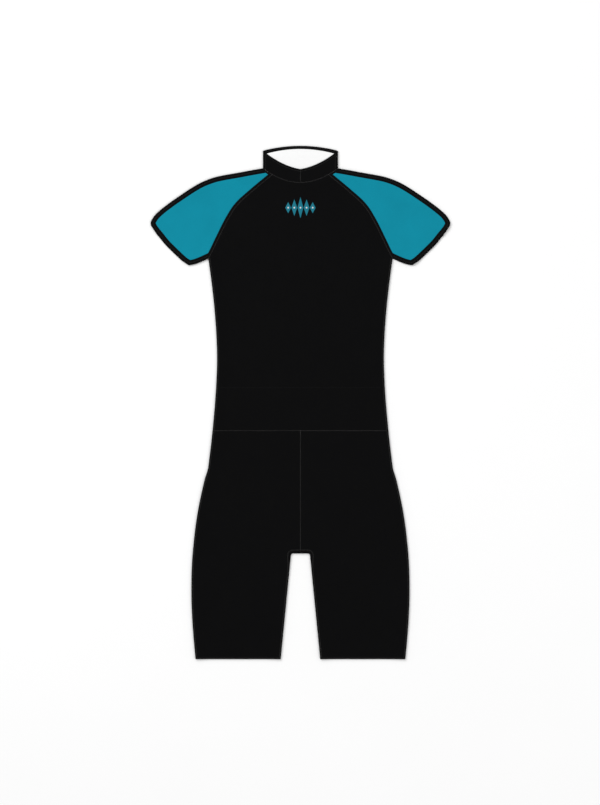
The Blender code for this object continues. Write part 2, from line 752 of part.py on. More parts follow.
def zip_tape(side, mirror):
    slot_low = SLIDER_TOP - SLIDER_LONG - PULL_LONG - SLOT_CLEAR
    teeth = straight(
        (0, LENGTH),
        (0, SLIDER_TOP + SLOT_CLEAR),
        (PULL_SLOT_HALF, SLIDER_TOP + SLOT_CLEAR),
        (PULL_SLOT_HALF, slot_low),
        (0, slot_low),
        (0, ZIP_LOW - ZIP_POINT),
        step=ZIP_STEP,
    )
    tape = [
        (straight((0, ZIP_LOW - ZIP_POINT), (ZIP_HALF, ZIP_LOW)), HALF_SEAM),
        (straight((ZIP_HALF, ZIP_LOW), (ZIP_HALF, collar_arch(ZIP_HALF)), step=ZIP_STEP), HALF_SEAM),
        (graph(collar_arch, ZIP_HALF, 0), OPEN),
        (teeth, HALF_SEAM),
    ]
    plate(f"zip_tape_{side}", ZIP_CLOTH, tape, TAPE_LAYER, mirror)


def zip_slider():
    """The slider narrows towards the pull; the ribbon starts against its end."""
    top, low = SLIDER_TOP, SLIDER_TOP - SLIDER_LONG
    places = [
        Place(SLIDER_HALF * SLIDER_WAIST, low),
        Place(SLIDER_HALF, low + SLIDER_LONG * SLIDER_WIDEST),
        Place(SLIDER_HALF * SLIDER_NOSE, top),
    ]
    right = smooth(places, SLIDER_STEP)
    shape = [(right, OPEN), (straight(right[-1], right[-1] * (-1, 1)), OPEN)]
    shape += [(right[::-1] * (-1, 1), OPEN), (straight(right[0] * (-1, 1), right[0]), OPEN)]
    plate("zip_slider", METAL, shape, (0.0, SLIDER_TALL))
    high, end = low - SEAM, low - SEAM - PULL_LONG
    turns = np.linspace(0, math.pi, PULL_POINTS)
    round_end = [(-PULL_HALF * math.cos(a), end + PULL_HALF * (1 - math.sin(a))) for a in turns]
    ribbon = [
        (np.array(round_end), OPEN),
        (straight(round_end[-1], (PULL_HALF, high)), OPEN),
        (straight((PULL_HALF, high), (-PULL_HALF, high)), OPEN),
        (straight((-PULL_HALF, high), round_end[0]), OPEN),
    ]
    plate("zip_pull_ribbon", ZIP_CLOTH, ribbon, (0.0, PULL_THICK))


def main():
    for old in list(bpy.data.objects):
        bpy.data.objects.remove(old)
    body()
    for side, mirror in (("left", False), ("right", True)):
        sleeve(side, mirror)
        sleeve_bands(side, mirror)
        raglan_tapes(side, mirror)
        collar(side, mirror)
        shorts(side, mirror)
        zip_tape(side, mirror)
    collar_inside()
    zip_slider()


main()
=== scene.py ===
"""The looks of a short-sleeved, thigh-length unitard laid out flat on its back.

X runs to the wearer's left, Y from the leg hems to the collar and Z up from the surface that it lies on.
Each cloth piece is worked out again from the sizes of the solid that it stands for, in closer steps and
with rounded edges. Sizes are in millimetres until a mesh is made. A place is (x, up): x from the centre
line and up from the leg hems.
"""

import math
from collections import namedtuple

import bmesh
import bpy
import numpy as np
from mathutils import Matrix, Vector
from mathutils.geometry import delaunay_2d_cdt


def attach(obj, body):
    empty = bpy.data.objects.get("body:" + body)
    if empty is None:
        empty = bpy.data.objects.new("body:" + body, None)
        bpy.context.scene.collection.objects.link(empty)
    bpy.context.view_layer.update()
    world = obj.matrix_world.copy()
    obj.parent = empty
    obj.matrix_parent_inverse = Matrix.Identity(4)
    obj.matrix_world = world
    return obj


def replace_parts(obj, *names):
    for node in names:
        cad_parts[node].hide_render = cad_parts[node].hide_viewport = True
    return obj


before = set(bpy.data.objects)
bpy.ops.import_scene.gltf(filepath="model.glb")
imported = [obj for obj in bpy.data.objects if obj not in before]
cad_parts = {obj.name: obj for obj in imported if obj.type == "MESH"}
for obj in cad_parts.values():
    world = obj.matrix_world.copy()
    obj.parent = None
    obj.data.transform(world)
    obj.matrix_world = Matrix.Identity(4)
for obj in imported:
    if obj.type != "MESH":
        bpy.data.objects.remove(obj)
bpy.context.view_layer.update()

MM = 0.001
LENGTH = 1026.7
MIDDLE = LENGTH / 2

# Cloth and seams
CLOTH = 1.2
SEAM = 0.06  # between the cut edges of two pieces that are sewn together
EDGE = 0.4  # radius of a cut or hemmed edge
LIFT = 0.2  # of the back's outer face above the surface, where the stitches stand out of it
FOLD_RADIUS = 2.4
REACH = 3.0
CROTCH_REACH = 7.0
AIR = 0.5
LOFT_FOLD = 30.0
LOFT_NECK = 45.0

# Bands that frame the teal sleeves
OVERARM_BAND = 10.2
CUFF_BAND = 10.8
UNDERARM_BAND = 10.0
RAGLAN_TAPE = 5.5
NECK_TAPE = 4.5  # where the raglan tapes turn along the neck, up to the overarm band

# Neck and collar
COLLAR_HALF = 75.0
NECK_SIDE = 981.9
NECK_DROP_FRONT = 28.6
NECK_SLOPE = 2 * NECK_DROP_FRONT / COLLAR_HALF  # at the collar's sides
NECK_RISE_BACK = 3.0
COLLAR_SIDE = 1017.0
COLLAR_FRONT = 980.0
COLLAR_DIP_SLOPE = 0.17
RAGLAN_NECK_FRONT = 56.0
RAGLAN_NECK_BACK = 50.0
EDGE_TAPE = 6.3
EDGE_TAPE_MORE = 1.7  # wider by this at the sides of the collar
EDGE_TAPE_LAYER = (1.5, 3.2)
FACING_LAYER = (2.2, 3.2)
FACING_LOW = 974.5
FACING_HALF = 72.2

# Waist, crotch and hems
HIP_SEAM = 457.0
HIP_CLEAR = 1.0  # between that seam's end and the next point up or down the side
WAIST_ROW = 543.0
CROTCH = 211.3
CROTCH_HALF = 19.1
CROTCH_ROUND = 4.0
CROTCH_FADE = 30.0  # down the inside of the leg, from the crotch's reach to the side seams'
HEM_INNER = 39.5

# Centre-back zip
ZIP_HALF = 6.15
ZIP_LOW = 541.0
ZIP_POINT = 6.0
SLIDER_TOP = 1019.0
SLIDER_LONG = 9.0
SLIDER_HALF = 2.9
SLIDER_WAIST = 0.75  # share of that width at the pull's end
SLIDER_NOSE = 0.8  # and at the other end
SLIDER_WIDEST = 0.7  # how far along it is widest
PULL_LONG = 27.0
PULL_HALF = 2.6

# How closely the shapes are worked out
STEP = 3.0  # between the points along an outline
SIDE_SKIP = 3  # every third point of the side does for how far a place is from it
ZIP_STEP = 12.0  # along the zip
SLIDER_STEP = 0.8  # round the slider
SMALL_STEP = 0.6  # round its bridge
RIBBON_STEP = 1.0  # across the pull
PRINT_STEP = 1.5  # round the print
FACET = 2.0  # across the cloth between a folded edge and its seam
ROUND_POINTS = 7  # round the crotch's corner
PULL_POINTS = 13  # round the ribbon's end
DOT_POINTS = 32  # round a dot of the print
ARC_SIDES = 12  # facets round a folded edge
NEAR = 3.0  # between the inner points within NEAR_RIM of a seam
NEAR_RIM = 10.0
FAR = 6.0  # and elsewhere
BACK_GRID = 15.0
PRINT_GRID = 2.0

# Where lines meet and edges turn
NEAREST = 1.0  # the least space from a line's end to its next point
LONGER = 30.0  # how far lines are carried on to find where they meet
PARALLEL = 0.06  # sine of the turn below which two sides count as one straight line
CORNER_TURN = 0.34  # sine of the turn from which two parts make a corner
CORNER_NEAR = 30.0  # how far from a corner points may be in its way
CORNER_CLEAR = 0.8  # between a point that stays and the other part, once moved in
CORNER_STRETCH = 10.0  # how far from a corner the direction of its parts is taken
SAME_PLACE = 1e-5  # places closer than this count as one
TINY = 1e-12  # keeps a division from being by nothing
ROUNDING = 0.3  # share of an edge's radius at the middle of its rounding
SHARP = math.radians(60)  # edges sharper than this stay sharp in the shading

# Unevenness of the cloth
PUCKER = 0.10  # height of the puckers along the seams
PUCKER_SIZE = 9.0
PUCKER_REACH = 5.0
PUCKER_SEED = 5
SWAY = 0.08  # and of the cloth's wide waves
SWAY_SIZE = 70.0
SWAY_SEED = 9
WAVES = 7
WAVE_LENGTHS = (0.7, 1.4)  # shares of a size
CREASE_FADE = 1.5  # power of the sine by which a crease fades towards its ends

Side = namedtuple("Side", "up half")
SIDE_ROWS = (
    Side(0, 209.9),
    Side(37, 213.3),
    Side(77, 216.3),
    Side(117, 218.0),
    Side(157, 218.1),
    Side(197, 216.7),
    Side(237, 213.2),
    Side(277, 208.3),
    Side(317, 201.2),
    Side(357, 192.2),
    Side(380, 185.3),
    Side(397, 182.9),
    Side(437, 178.1),
    Side(477, 174.0),
    Side(517, 170.6),
    Side(557, 168.1),
    Side(597, 166.8),
    Side(637, 167.7),
    Side(677, 170.1),
    Side(717, 173.6),
    Side(757, 178.3),
    Side(801.2, 184.2),
)

Place = namedtuple("Place", "x up")
ARMPIT = Place(184.2, 801.2)
CUFF_INNER = Place(223.6, 787.8)
CUFF_OUTER = Place(298.9, 866.8)
OVERARM_PLACES = (
    CUFF_OUTER,
    Place(299.4, 874.5),
    Place(292.0, 887.1),
    Place(280.0, 898.7),
    Place(260.0, 914.1),
    Place(240.0, 927.9),
    Place(220.0, 941.2),
    Place(200.0, 952.8),
    Place(180.0, 961.1),
    Place(160.0, 966.6),
    Place(120.0, 973.8),
    Place(100.0, 977.6),
    Place(COLLAR_HALF, NECK_SIDE),
)
CUFF_PLACES = (
    CUFF_INNER,
    Place(232.0, 792.6),
    Place(244.4, 803.4),
    Place(268.9, 827.4),
    Place(282.1, 843.4),
    Place(294.9, 859.4),
    CUFF_OUTER,
)
UNDERARM_PLACES = (ARMPIT, Place(194.0, 796.6), Place(206.0, 791.7), Place(216.0, 788.8), CUFF_INNER)
RAGLAN_LOW_PLACES = (Place(164.0, 842.0), Place(175.0, 819.0), ARMPIT)

# Soft ridges that lying flat leaves in the cloth; a crease bows sideways by bow at its middle
Crease = namedtuple("Crease", "x up end_x end_up high wide bow")
CREASES = (
    Crease(-148, 812, -62, 872, 0.50, 9, 8),
    Crease(-150, 786, -84, 806, 0.32, 7, -5),
    Crease(146, 806, 74, 884, 0.42, 10, -9),
    Crease(152, 770, 96, 778, 0.28, 8, 4),
    Crease(-36, 934, 22, 926, 0.26, 8, -6),
    Crease(-140, 640, -38, 622, 0.36, 11, 7),
    Crease(142, 612, 30, 634, 0.30, 9, -8),
    Crease(-132, 566, -70, 586, 0.26, 8, 4),
    Crease(138, 536, 84, 520, 0.30, 9, -5),
    Crease(-34, 240, -120, 330, 0.44, 9, 9),
    Crease(36, 236, 104, 346, 0.50, 10, -8),
    Crease(-40, 206, -150, 236, 0.34, 11, -9),
    Crease(42, 196, 160, 214, 0.30, 10, 7),
    Crease(-180, 150, -98, 96, 0.28, 12, 6),
    Crease(176, 112, 92, 74, 0.26, 11, -6),
    Crease(-232, 842, -196, 900, 0.30, 8, -5),
    Crease(228, 838, 184, 886, 0.34, 7, 6),
)


def neck_front(x):
    return NECK_SIDE - NECK_DROP_FRONT * (1 - (x / COLLAR_HALF) ** 2)


def neck_back(x):
    return NECK_SIDE + NECK_RISE_BACK * (1 - (x / COLLAR_HALF) ** 2)


def collar_arch(x):
    return COLLAR_SIDE + (LENGTH - COLLAR_SIDE) * (1 - (x / COLLAR_HALF) ** 2)


def collar_dip(x):
    bend = (COLLAR_SIDE - COLLAR_FRONT - COLLAR_DIP_SLOPE * COLLAR_HALF) / COLLAR_HALF**2
    return COLLAR_FRONT + COLLAR_DIP_SLOPE * x + bend * x**2


def graph(height, start, end, step=STEP):
    """The line that a height makes from one x to another."""
    x = np.linspace(start, end, max(2, round(abs(end - start) / step) + 1))
    return np.stack([x, height(x)], 1)


def straight(*places, step=STEP):
    """Points along straight runs from place to place."""
    runs = [
        np.linspace(a, b, max(1, round(math.dist(a, b) / step)), endpoint=False)
        for a, b in zip(places, places[1:])
    ]
    return np.vstack([*runs, [places[-1]]])


def smooth(places, step=STEP):
    """Points along a smooth curve through the places."""
    p = np.array(places, float)
    p = np.vstack([2 * p[0] - p[1], p, 2 * p[-1] - p[-2]])
    points = []
    for a, b, c, d in zip(p, p[1:], p[2:], p[3:]):
        parts = max(1, round(np.linalg.norm(c - b) / step))
        for t in np.arange(parts) / parts:
            bend = (2 * a - 5 * b + 4 * c - d) * t**2 + (3 * b - a - 3 * c + d) * t**3
            points.append(b + ((c - a) * t + bend) / 2)
    return np.array([*points, p[-2]])


def cross(a, b):
    return a[..., 0] * b[..., 1] - a[..., 1] * b[..., 0]


def left_of(along):
    """Unit vectors to the left of some directions."""
    along = along / np.linalg.norm(along, axis=-1, keepdims=True)
    return np.stack([-along[..., 1], along[..., 0]], -1)


def beside(line, gap):
    """An open line moved to its left, by one gap or by one for each point."""
    sides = left_of(np.diff(line, axis=0))
    sides = np.vstack([sides[:1], sides, sides[-1:]])
    middle = sides[:-1] + sides[1:]
    return line + 2 * np.reshape(gap, (-1, 1)) * middle / (middle**2).sum(1)[:, None]


def longer(line, more=LONGER):
    """A line carried straight on past both ends."""
    first = line[0] + (line[0] - line[1]) * more / np.linalg.norm(line[0] - line[1])
    last = line[-1] + (line[-1] - line[-2]) * more / np.linalg.norm(line[-1] - line[-2])
    return np.vstack([first, line, last])


def meeting(line, other):
    """Where a line first meets another: how far along it, in points, and the place."""
    for i, (a, b) in enumerate(zip(line, line[1:])):
        c, d = other[:-1], other[1:]
        turn = cross(b - a, d - c)
        turn = np.where(np.abs(turn) < TINY, TINY, turn)
        t, u = cross(c - a, d - c) / turn, cross(c - a, b - a) / turn
        hits = t[(t >= 0) & (t <= 1) & (u >= 0) & (u <= 1)]
        if len(hits):
            return i + hits.min(), a + (b - a) * hits.min()
    raise ValueError("these lines do not meet")


def between(line, first, last):
    """The stretch of a line between the places where it meets two others."""
    line = longer(line)
    (i, start), (j, end) = (meeting(line, longer(other)) for other in (first, last))
    inner = line[math.floor(i) + 1 : math.ceil(j)]
    clear = [p for p in inner if min(math.dist(p, start), math.dist(p, end)) > NEAREST]
    return np.array([start, *clear, end])


def outline(parts):
    """Joins (line, gap) parts that follow each other round a piece, with its inside on their left."""
    points, before, after = [], [], []
    last = np.broadcast_to(parts[-1][1], len(parts[-1][0]))[-1]
    for line, gap in parts:
        gaps = np.broadcast_to(gap, len(line))
        points.extend(line[:-1])
        before.extend([last, *gaps[1:-1]])
        after.extend(gaps[:-1])
        last = gaps[-1]
    return np.array(points, float), np.array(before, float), np.array(after, float)


def inset(points, before, after, turned=None):
    """The corners of an outline moved inwards.

    turned gives other directions for sides: {corner: (before, after)}.
    """
    sides = left_of(np.roll(points, -1, 0) - points)
    a, b = sides.copy(), np.roll(sides, 1, 0)
    for corner, (side_before, side_after) in (turned or {}).items():
        if side_before is not None:
            b[corner] = left_of(np.array(side_before, float))
        if side_after is not None:
            a[corner] = left_of(np.array(side_after, float))
    turn = cross(b, a)
    bent = np.abs(turn) > PARALLEL
    turn = np.where(bent, turn, 1.0)
    x = (before * a[:, 1] - after * b[:, 1]) / turn
    y = (after * b[:, 0] - before * a[:, 0]) / turn
    level = (a + b) * ((before + after) / 2 / (1 + (a * b).sum(1)))[:, None]
    return points + np.where(bent[:, None], np.stack([x, y], 1), level)


def trimmed(parts, deep):
    """Parts without the points that would cross a neighbouring part once each is moved in.

    deep says how far each part is moved in.
    """
    if len(parts) == 1:
        return parts
    kept = []
    for k, (line, gap) in enumerate(parts):
        gaps = np.broadcast_to(gap, len(line))
        moved = beside(line, np.broadcast_to(deep[k], len(line)))
        keep = np.ones(len(line), bool)
        following = (k + 1) % len(parts)
        before, after = parts[k - 1][0][::-1], parts[following][0]
        for corner, own, other, sign, limit in (
            (line[0], line, before, -1, np.max(deep[k - 1])),
            (line[-1], line[::-1], after, 1, np.max(deep[following])),
        ):
            along = other[stretch(other)] - corner
            along = sign * along / np.linalg.norm(along)
            leaving = own[stretch(own)] - corner
            leaving = leaving / np.linalg.norm(leaving)
            if cross(along, leaving) < CORNER_TURN:
                continue
            near = np.hypot(*(line - corner).T) < CORNER_NEAR
            past = np.minimum(cross(along, line - corner), cross(along, moved - corner))
            keep &= (past > limit + CORNER_CLEAR) | ~near
        keep[[0, -1]] = True
        kept.append((line[keep], gaps[keep]))
    return kept


def stretch(line):
    """The point of a line that lies at about CORNER_STRETCH from its start."""
    far = np.hypot(*(line - line[0]).T)
    return min(int(np.searchsorted(np.maximum.accumulate(far), CORNER_STRETCH)), len(line) - 1)


def mirrored(parts):
    """The same parts on the other half, in the order that goes on round the piece."""
    return [
        (line[::-1] * (-1, 1), np.broadcast_to(gap, len(line))[::-1]) for line, gap in reversed(parts)
    ]


def distance(places, line):
    """How far each place is from a line."""
    nearest = np.full(len(places), np.inf)
    for a, b in zip(line, line[1:]):
        t = np.clip(((places - a) @ (b - a)) / max((b - a) @ (b - a), TINY), 0, 1)
        away = places - a - t[:, None] * (b - a)
        nearest = np.minimum(nearest, np.hypot(away[:, 0], away[:, 1]))
    return nearest


def within(places, rim):
    """Which places lie inside a closed outline."""
    found = np.zeros(len(places), bool)
    x, y = places[:, 0], places[:, 1]
    for a, b in zip(rim, np.roll(rim, -1, 0)):
        if a[1] != b[1]:
            at = a[0] + (y - a[1]) * (b[0] - a[0]) / (b[1] - a[1])
            found ^= ((a[1] > y) != (b[1] > y)) & (x < at)
    return found


# Lines of the wearer's left half. Each runs with the inside of the garment, or of the sleeve, on its left.
SIDE_LINE = smooth([Place(row.half, row.up) for row in SIDE_ROWS])
HIP_HALF = float(np.interp(HIP_SEAM, SIDE_LINE[:, 1], SIDE_LINE[:, 0]))
LEG_SIDE = np.vstack([SIDE_LINE[SIDE_LINE[:, 1] < HIP_SEAM - HIP_CLEAR], [(HIP_HALF, HIP_SEAM)]])
BODY_SIDE = np.vstack([[(HIP_HALF, HIP_SEAM)], SIDE_LINE[SIDE_LINE[:, 1] > HIP_SEAM + HIP_CLEAR]])
OVERARM = smooth(OVERARM_PLACES)
CUFF = smooth(CUFF_PLACES)
UNDERARM = smooth(UNDERARM_PLACES)
RAGLAN = smooth(
    [
        Place(RAGLAN_NECK_FRONT, neck_front(RAGLAN_NECK_FRONT)),
        Place(96.6, 935.7),
        Place(126.0, 908.5),
        Place(145.3, 879.2),
        *RAGLAN_LOW_PLACES,
    ]
)
RAGLAN_BACK = smooth(
    [
        Place(RAGLAN_NECK_BACK, neck_back(RAGLAN_NECK_BACK)),
        Place(93.0, 941.0),
        Place(126.5, 908.5),
        Place(146.5, 879.5),
        *RAGLAN_LOW_PLACES,
    ]
)
NECK_FRONT = graph(neck_front, 0, COLLAR_HALF)
NECK_BACK = graph(neck_back, 0, COLLAR_HALF)

NECK_LINE = beside(NECK_FRONT[::-1], NECK_TAPE)[::-1]
NECK_LINE_BACK = beside(NECK_BACK[::-1], NECK_TAPE)[::-1]
TAPE_LINE = beside(RAGLAN, RAGLAN_TAPE)
TAPE_LINE_BACK = beside(RAGLAN_BACK, RAGLAN_TAPE)
BAND_END = straight((COLLAR_HALF, NECK_SIDE), (COLLAR_HALF, NECK_SIDE - 2 * OVERARM_BAND))
OVERARM_LINE = beside(OVERARM, OVERARM_BAND)
CUFF_LINE = beside(CUFF, CUFF_BAND)
UNDERARM_LINE = beside(UNDERARM, UNDERARM_BAND)

# The middle lines of the bands, which their rows of stitches follow
OVERARM_ROW = beside(OVERARM, OVERARM_BAND / 2)
CUFF_ROW = beside(CUFF, CUFF_BAND / 2)
UNDERARM_ROW = beside(UNDERARM, UNDERARM_BAND / 2)


def inner_leg():
    """The edge from the centre of the crotch round its corner and down the inside of the leg."""
    slope = math.atan2(HEM_INNER - CROTCH_HALF, CROTCH)
    turns = np.linspace(0, math.pi / 2 - slope, ROUND_POINTS)
    middle = (CROTCH_HALF - CROTCH_ROUND, CROTCH - CROTCH_ROUND)
    corner = [
        (middle[0] + CROTCH_ROUND * math.sin(a), middle[1] + CROTCH_ROUND * math.cos(a)) for a in turns
    ]
    top = straight((0, CROTCH), corner[0])
    return np.vstack([top[:-1], corner[:-1], straight(corner[-1], (HEM_INNER, 0))])


INNER_LEG = inner_leg()


def crotch_reach():
    """How far in from that edge the seam on the front lies, point by point."""
    below = CROTCH - INNER_LEG[:, 1]
    share = np.clip(below / CROTCH_FADE, 0, 1)
    return CROTCH_REACH + (REACH - CROTCH_REACH) * share


FOLDS = (
    SIDE_LINE[::SIDE_SKIP],
    UNDERARM,
    OVERARM,
    np.array([(COLLAR_HALF, NECK_SIDE), (COLLAR_HALF, COLLAR_SIDE)]),
    INNER_LEG,
)


def eased(share):
    """1 at 0 and 0 at 1, level at both."""
    share = np.clip(share, 0, 1)
    return (1 - share) ** 2 * (1 + 2 * share)


def waves(places, size, seed):
    """Smooth unevenness of about -1 to 1: waves of about one length in several directions."""
    chance = np.random.default_rng(seed)
    total = np.zeros(len(places))
    for _ in range(WAVES):
        turn, start = chance.uniform(0, 2 * math.pi, 2)
        along = places @ (math.cos(turn), math.sin(turn))
        total += np.sin(along * 2 * math.pi / (size * chance.uniform(*WAVE_LENGTHS)) + start)
    return total / math.sqrt(WAVES)


def creased(places):
    """The height of the listed creases."""
    total = np.zeros(len(places))
    for crease in CREASES:
        start, end = np.array((crease.x, crease.up)), np.array((crease.end_x, crease.end_up))
        run = end - start
        t = ((places - start) @ run) / (run @ run)
        off = cross(run / np.linalg.norm(run), places - start) - crease.bow * 4 * t * (1 - t)
        fade = np.clip(np.sin(np.clip(t, 0, 1) * math.pi), 0, 1) ** CREASE_FADE
        total += crease.high * fade * np.exp(-((off / crease.wide) ** 2))
    return total


def under(places, rim=None):
    """The height of the front panels' lower face, with creases and, close to the rim, puckers."""
    half = np.abs(places)
    fold = np.min([distance(half, line) for line in FOLDS], 0)
    edge = eased((fold - FOLD_RADIUS) / (LOFT_FOLD - FOLD_RADIUS))
    x, up = half[:, 0], half[:, 1]
    below = np.maximum(neck_front(np.minimum(x, COLLAR_HALF)) - up, 0)
    neck = eased(np.hypot(below, np.maximum(x - COLLAR_HALF, 0)) / LOFT_NECK)
    low = CLOTH + AIR
    high = 2 * FOLD_RADIUS - CLOTH
    plain = low + (high - low) * (1 - (1 - edge) * (1 - neck))
    seam = np.zeros(len(places)) if rim is None else distance(places, np.vstack([rim, rim[:1]]))
    pucker = PUCKER * waves(places, PUCKER_SIZE, PUCKER_SEED) * np.exp(-seam / PUCKER_REACH)
    sway = SWAY * waves(places, SWAY_SIZE, SWAY_SEED)
    return plain + pucker * (1 - edge / 2) + (creased(places) + sway) * (1 - edge) * (1 - neck)


def over(places, rim=None):
    """The height of the garment's upper face, by default as close to a seam as the stitches are."""
    fold = np.min([distance(np.abs(places), line) for line in FOLDS], 0)
    sunk = np.clip(1 - fold / FOLD_RADIUS, 0, 1)
    return under(places, rim) + CLOTH - FOLD_RADIUS * (1 - np.sqrt(1 - sunk**2))


def inner_places(rim, near, far):
    """Points inside a piece's outline, closer together near it."""
    low, high = rim.min(0), rim.max(0)
    x, y = (np.arange(math.ceil(a / near), math.floor(b / near) + 1) for a, b in zip(low, high))
    cells = np.stack(np.meshgrid(x, y), -1).reshape(-1, 2)
    places = cells * near
    inside = within(places, rim)
    cells, places = cells[inside], places[inside]
    seam = distance(places, np.vstack([rim, rim[:1]]))
    coarse = (cells % round(far / near) == 0).all(1)
    return places[(seam > near / 2) & ((seam < NEAR_RIM) | coarse)]


def filled(rim, inner):
    """Triangles over the places of an outline and those inside it, by number, all facing up."""
    sides = [(i, (i + 1) % len(rim)) for i in range(len(rim))]
    given = [Vector(place) for place in (*rim, *inner)]
    places, _, faces, origins, _, _ = delaunay_2d_cdt(given, sides, [], 1, SAME_PLACE)
    number = {}
    for k, first in enumerate(origins):
        for origin in first:
            number[k] = origin
    if len(places) != len(given) or len(number) != len(given):
        raise ValueError(f"an outline crosses itself near {rim.min(0)} to {rim.max(0)}")
    return [tuple(number[k] for k in face) for face in faces]


# Materials; depths, sizes and pitches are in millimetres
SHEEN_ROUGH = 0.4
WALE = 0.75
COURSE = 0.55
KNIT_DEEP = 0.09
KNIT_ROUGH = 0.62
CLOTH_LEVEL = 0.03  # how much the black and the teal cloth reflect


def finish_of(name, metallic=0.0, level=0.3, sheen=0.0, sheen_tint=(1, 1, 1)):
    """A new material, its node tree and its shader, with what is the same all over set on the shader."""
    found = bpy.data.materials.new(name)
    found.use_nodes = True
    shader = found.node_tree.nodes["Principled BSDF"]
    shader.inputs["Metallic"].default_value = metallic
    shader.inputs["Specular IOR Level"].default_value = level
    shader.inputs["Sheen Weight"].default_value = sheen
    shader.inputs["Sheen Roughness"].default_value = SHEEN_ROUGH
    shader.inputs["Sheen Tint"].default_value = (*sheen_tint, 1)
    return found, found.node_tree, shader


def add(tree, kind, given=None, **settings):
    """A node with its inputs linked to sockets or set to values."""
    made = tree.nodes.new(kind)
    for key, value in settings.items():
        setattr(made, key, value)
    for socket, value in (given or {}).items():
        if isinstance(value, bpy.types.NodeSocket):
            tree.links.new(value, made.inputs[socket])
        else:
            made.inputs[socket].default_value = value
    return made


def calc(tree, operation, *given):
    return add(tree, "ShaderNodeMath", dict(enumerate(given)), operation=operation).outputs[0]


def place_mm(tree, turn=0.0):
    """The place on the piece in millimetres, turned about Z."""
    place = add(tree, "ShaderNodeTexCoord").outputs["Object"]
    given = {"Vector": place, "Rotation": (0, 0, turn), "Scale": (1 / MM, 1 / MM, 1 / MM)}
    return add(tree, "ShaderNodeMapping", given).outputs[0]


def noise(tree, place, size, detail=2.0):
    given = {"Vector": place, "Scale": 1 / size, "Detail": detail, "Roughness": 0.6}
    return add(tree, "ShaderNodeTexNoise", given).outputs["Fac"]


def spread(tree, value, low, high):
    """A value of 0 to 1 brought to another range."""
    return add(tree, "ShaderNodeMapRange", {"Value": value, "To Min": low, "To Max": high}).outputs[0]


def tinted(tree, amount, dark, light):
    """A colour between two by an amount of 0 to 1."""
    made = add(tree, "ShaderNodeMix", data_type="RGBA")
    tree.links.new(amount, made.inputs[0])
    made.inputs[6].default_value = (*dark, 1)
    made.inputs[7].default_value = (*light, 1)
    return made.outputs[2]


def times(colour, share):
    return tuple(min(part * share, 1.0) for part in colour)


def surface(tree, shader, colour, rough, height, deep):
    """Links colour, roughness and a bump that is deep millimetres high."""
    tree.links.new(colour, shader.inputs["Base Color"])
    tree.links.new(rough, shader.inputs["Roughness"])
    bump = add(tree, "ShaderNodeBump", {"Height": height, "Distance": deep * MM, "Strength": 1.0})
    tree.links.new(bump.outputs[0], shader.inputs["Normal"])


def knit(name, colour, turn=0.0, sheen=0.1):
    """Fine warp knit: rounded wales, with the legs of the stitches slanting to and fro along them."""
    found, tree, shader = finish_of(name, 0.0, CLOTH_LEVEL, sheen, times(colour, 1.5))
    place = place_mm(tree, turn)
    part = add(tree, "ShaderNodeSeparateXYZ", {0: place})
    round_wale = calc(tree, "MULTIPLY", part.outputs[0], math.pi / WALE)
    across = calc(tree, "ABSOLUTE", calc(tree, "SINE", round_wale))
    slant = calc(tree, "PINGPONG", calc(tree, "DIVIDE", part.outputs[0], WALE), 0.5)
    rows = calc(tree, "ADD", calc(tree, "DIVIDE", part.outputs[1], COURSE), slant)
    leg = calc(tree, "SINE", calc(tree, "MULTIPLY", rows, 2 * math.pi))
    height = calc(tree, "MULTIPLY_ADD", leg, 0.25, across)
    # The colour follows the knit's height. It is darker in the crevices between the wales and lighter on
    # their tops, which is painted shade and painted highlight. The noise and the wide patches add tone that
    # differs at random.
    tone = calc(tree, "MULTIPLY_ADD", height, 0.35, noise(tree, place, 0.5, 3.0))
    patch = calc(tree, "MULTIPLY_ADD", noise(tree, place, 60.0), 0.5, tone)
    crevice_shade_and_mottle = spread(tree, calc(tree, "MULTIPLY", patch, 0.7), 0.0, 1.0)
    mixed = tinted(tree, crevice_shade_and_mottle, times(colour, 0.72), times(colour, 1.28))
    rough = spread(tree, noise(tree, place, 18.0), KNIT_ROUGH - 0.06, KNIT_ROUGH + 0.08)
    surface(tree, shader, mixed, rough, height, KNIT_DEEP)
    return found


def ribbed(name, colour, pitch=0.9, deep=0.08, rough=0.58, turn=0.0):
    """Stretch band and woven tape: close ribs crossed by fine weft."""
    found, tree, shader = finish_of(name, 0.0, CLOTH_LEVEL, sheen=0.08)
    place = place_mm(tree, turn)
    part = add(tree, "ShaderNodeSeparateXYZ", {0: place})
    round_rib = calc(tree, "MULTIPLY", part.outputs[1], math.pi / pitch)
    rib = calc(tree, "ABSOLUTE", calc(tree, "SINE", round_rib))
    weft = calc(tree, "SINE", calc(tree, "MULTIPLY", part.outputs[0], 2 * math.pi / (pitch * 0.6)))
    height = calc(tree, "MULTIPLY_ADD", weft, 0.2, rib)
    # The colour follows the ribs' height. It is darker in the crevices between the ribs and lighter on their
    # tops, which is painted shade and painted highlight. The noise adds tone that differs at random.
    crevice_shade_and_mottle = calc(tree, "MULTIPLY_ADD", height, 0.3, noise(tree, place, 0.7, 3.0))
    mixed = tinted(tree, spread(tree, crevice_shade_and_mottle, 0.0, 0.9), times(colour, 0.75), times(colour, 1.25))
    rough = spread(tree, noise(tree, place, 9.0), rough - 0.05, rough + 0.07)
    surface(tree, shader, mixed, rough, height, deep)
    return found


def mottled(name, colour, size, deep, rough, metallic=0.0, level=0.3, sheen=0.0, vary=0.15, spot=8.0):
    """An even finish with fine grain: thread, brushed cloth, print, nylon, coated metal or the floor."""
    found, tree, shader = finish_of(name, metallic, level, sheen)
    place = place_mm(tree)
    grain = noise(tree, place, size, 4.0)
    wide = noise(tree, place, size * spot, 2.0)
    tone = calc(tree, "MULTIPLY_ADD", grain, 0.5, calc(tree, "MULTIPLY", wide, 0.5))
    mixed = tinted(tree, tone, times(colour, 1 - vary), times(colour, 1 + vary))
    surface(tree, shader, mixed, spread(tree, wide, rough - 0.05, rough + 0.07), grain, deep)
    return found


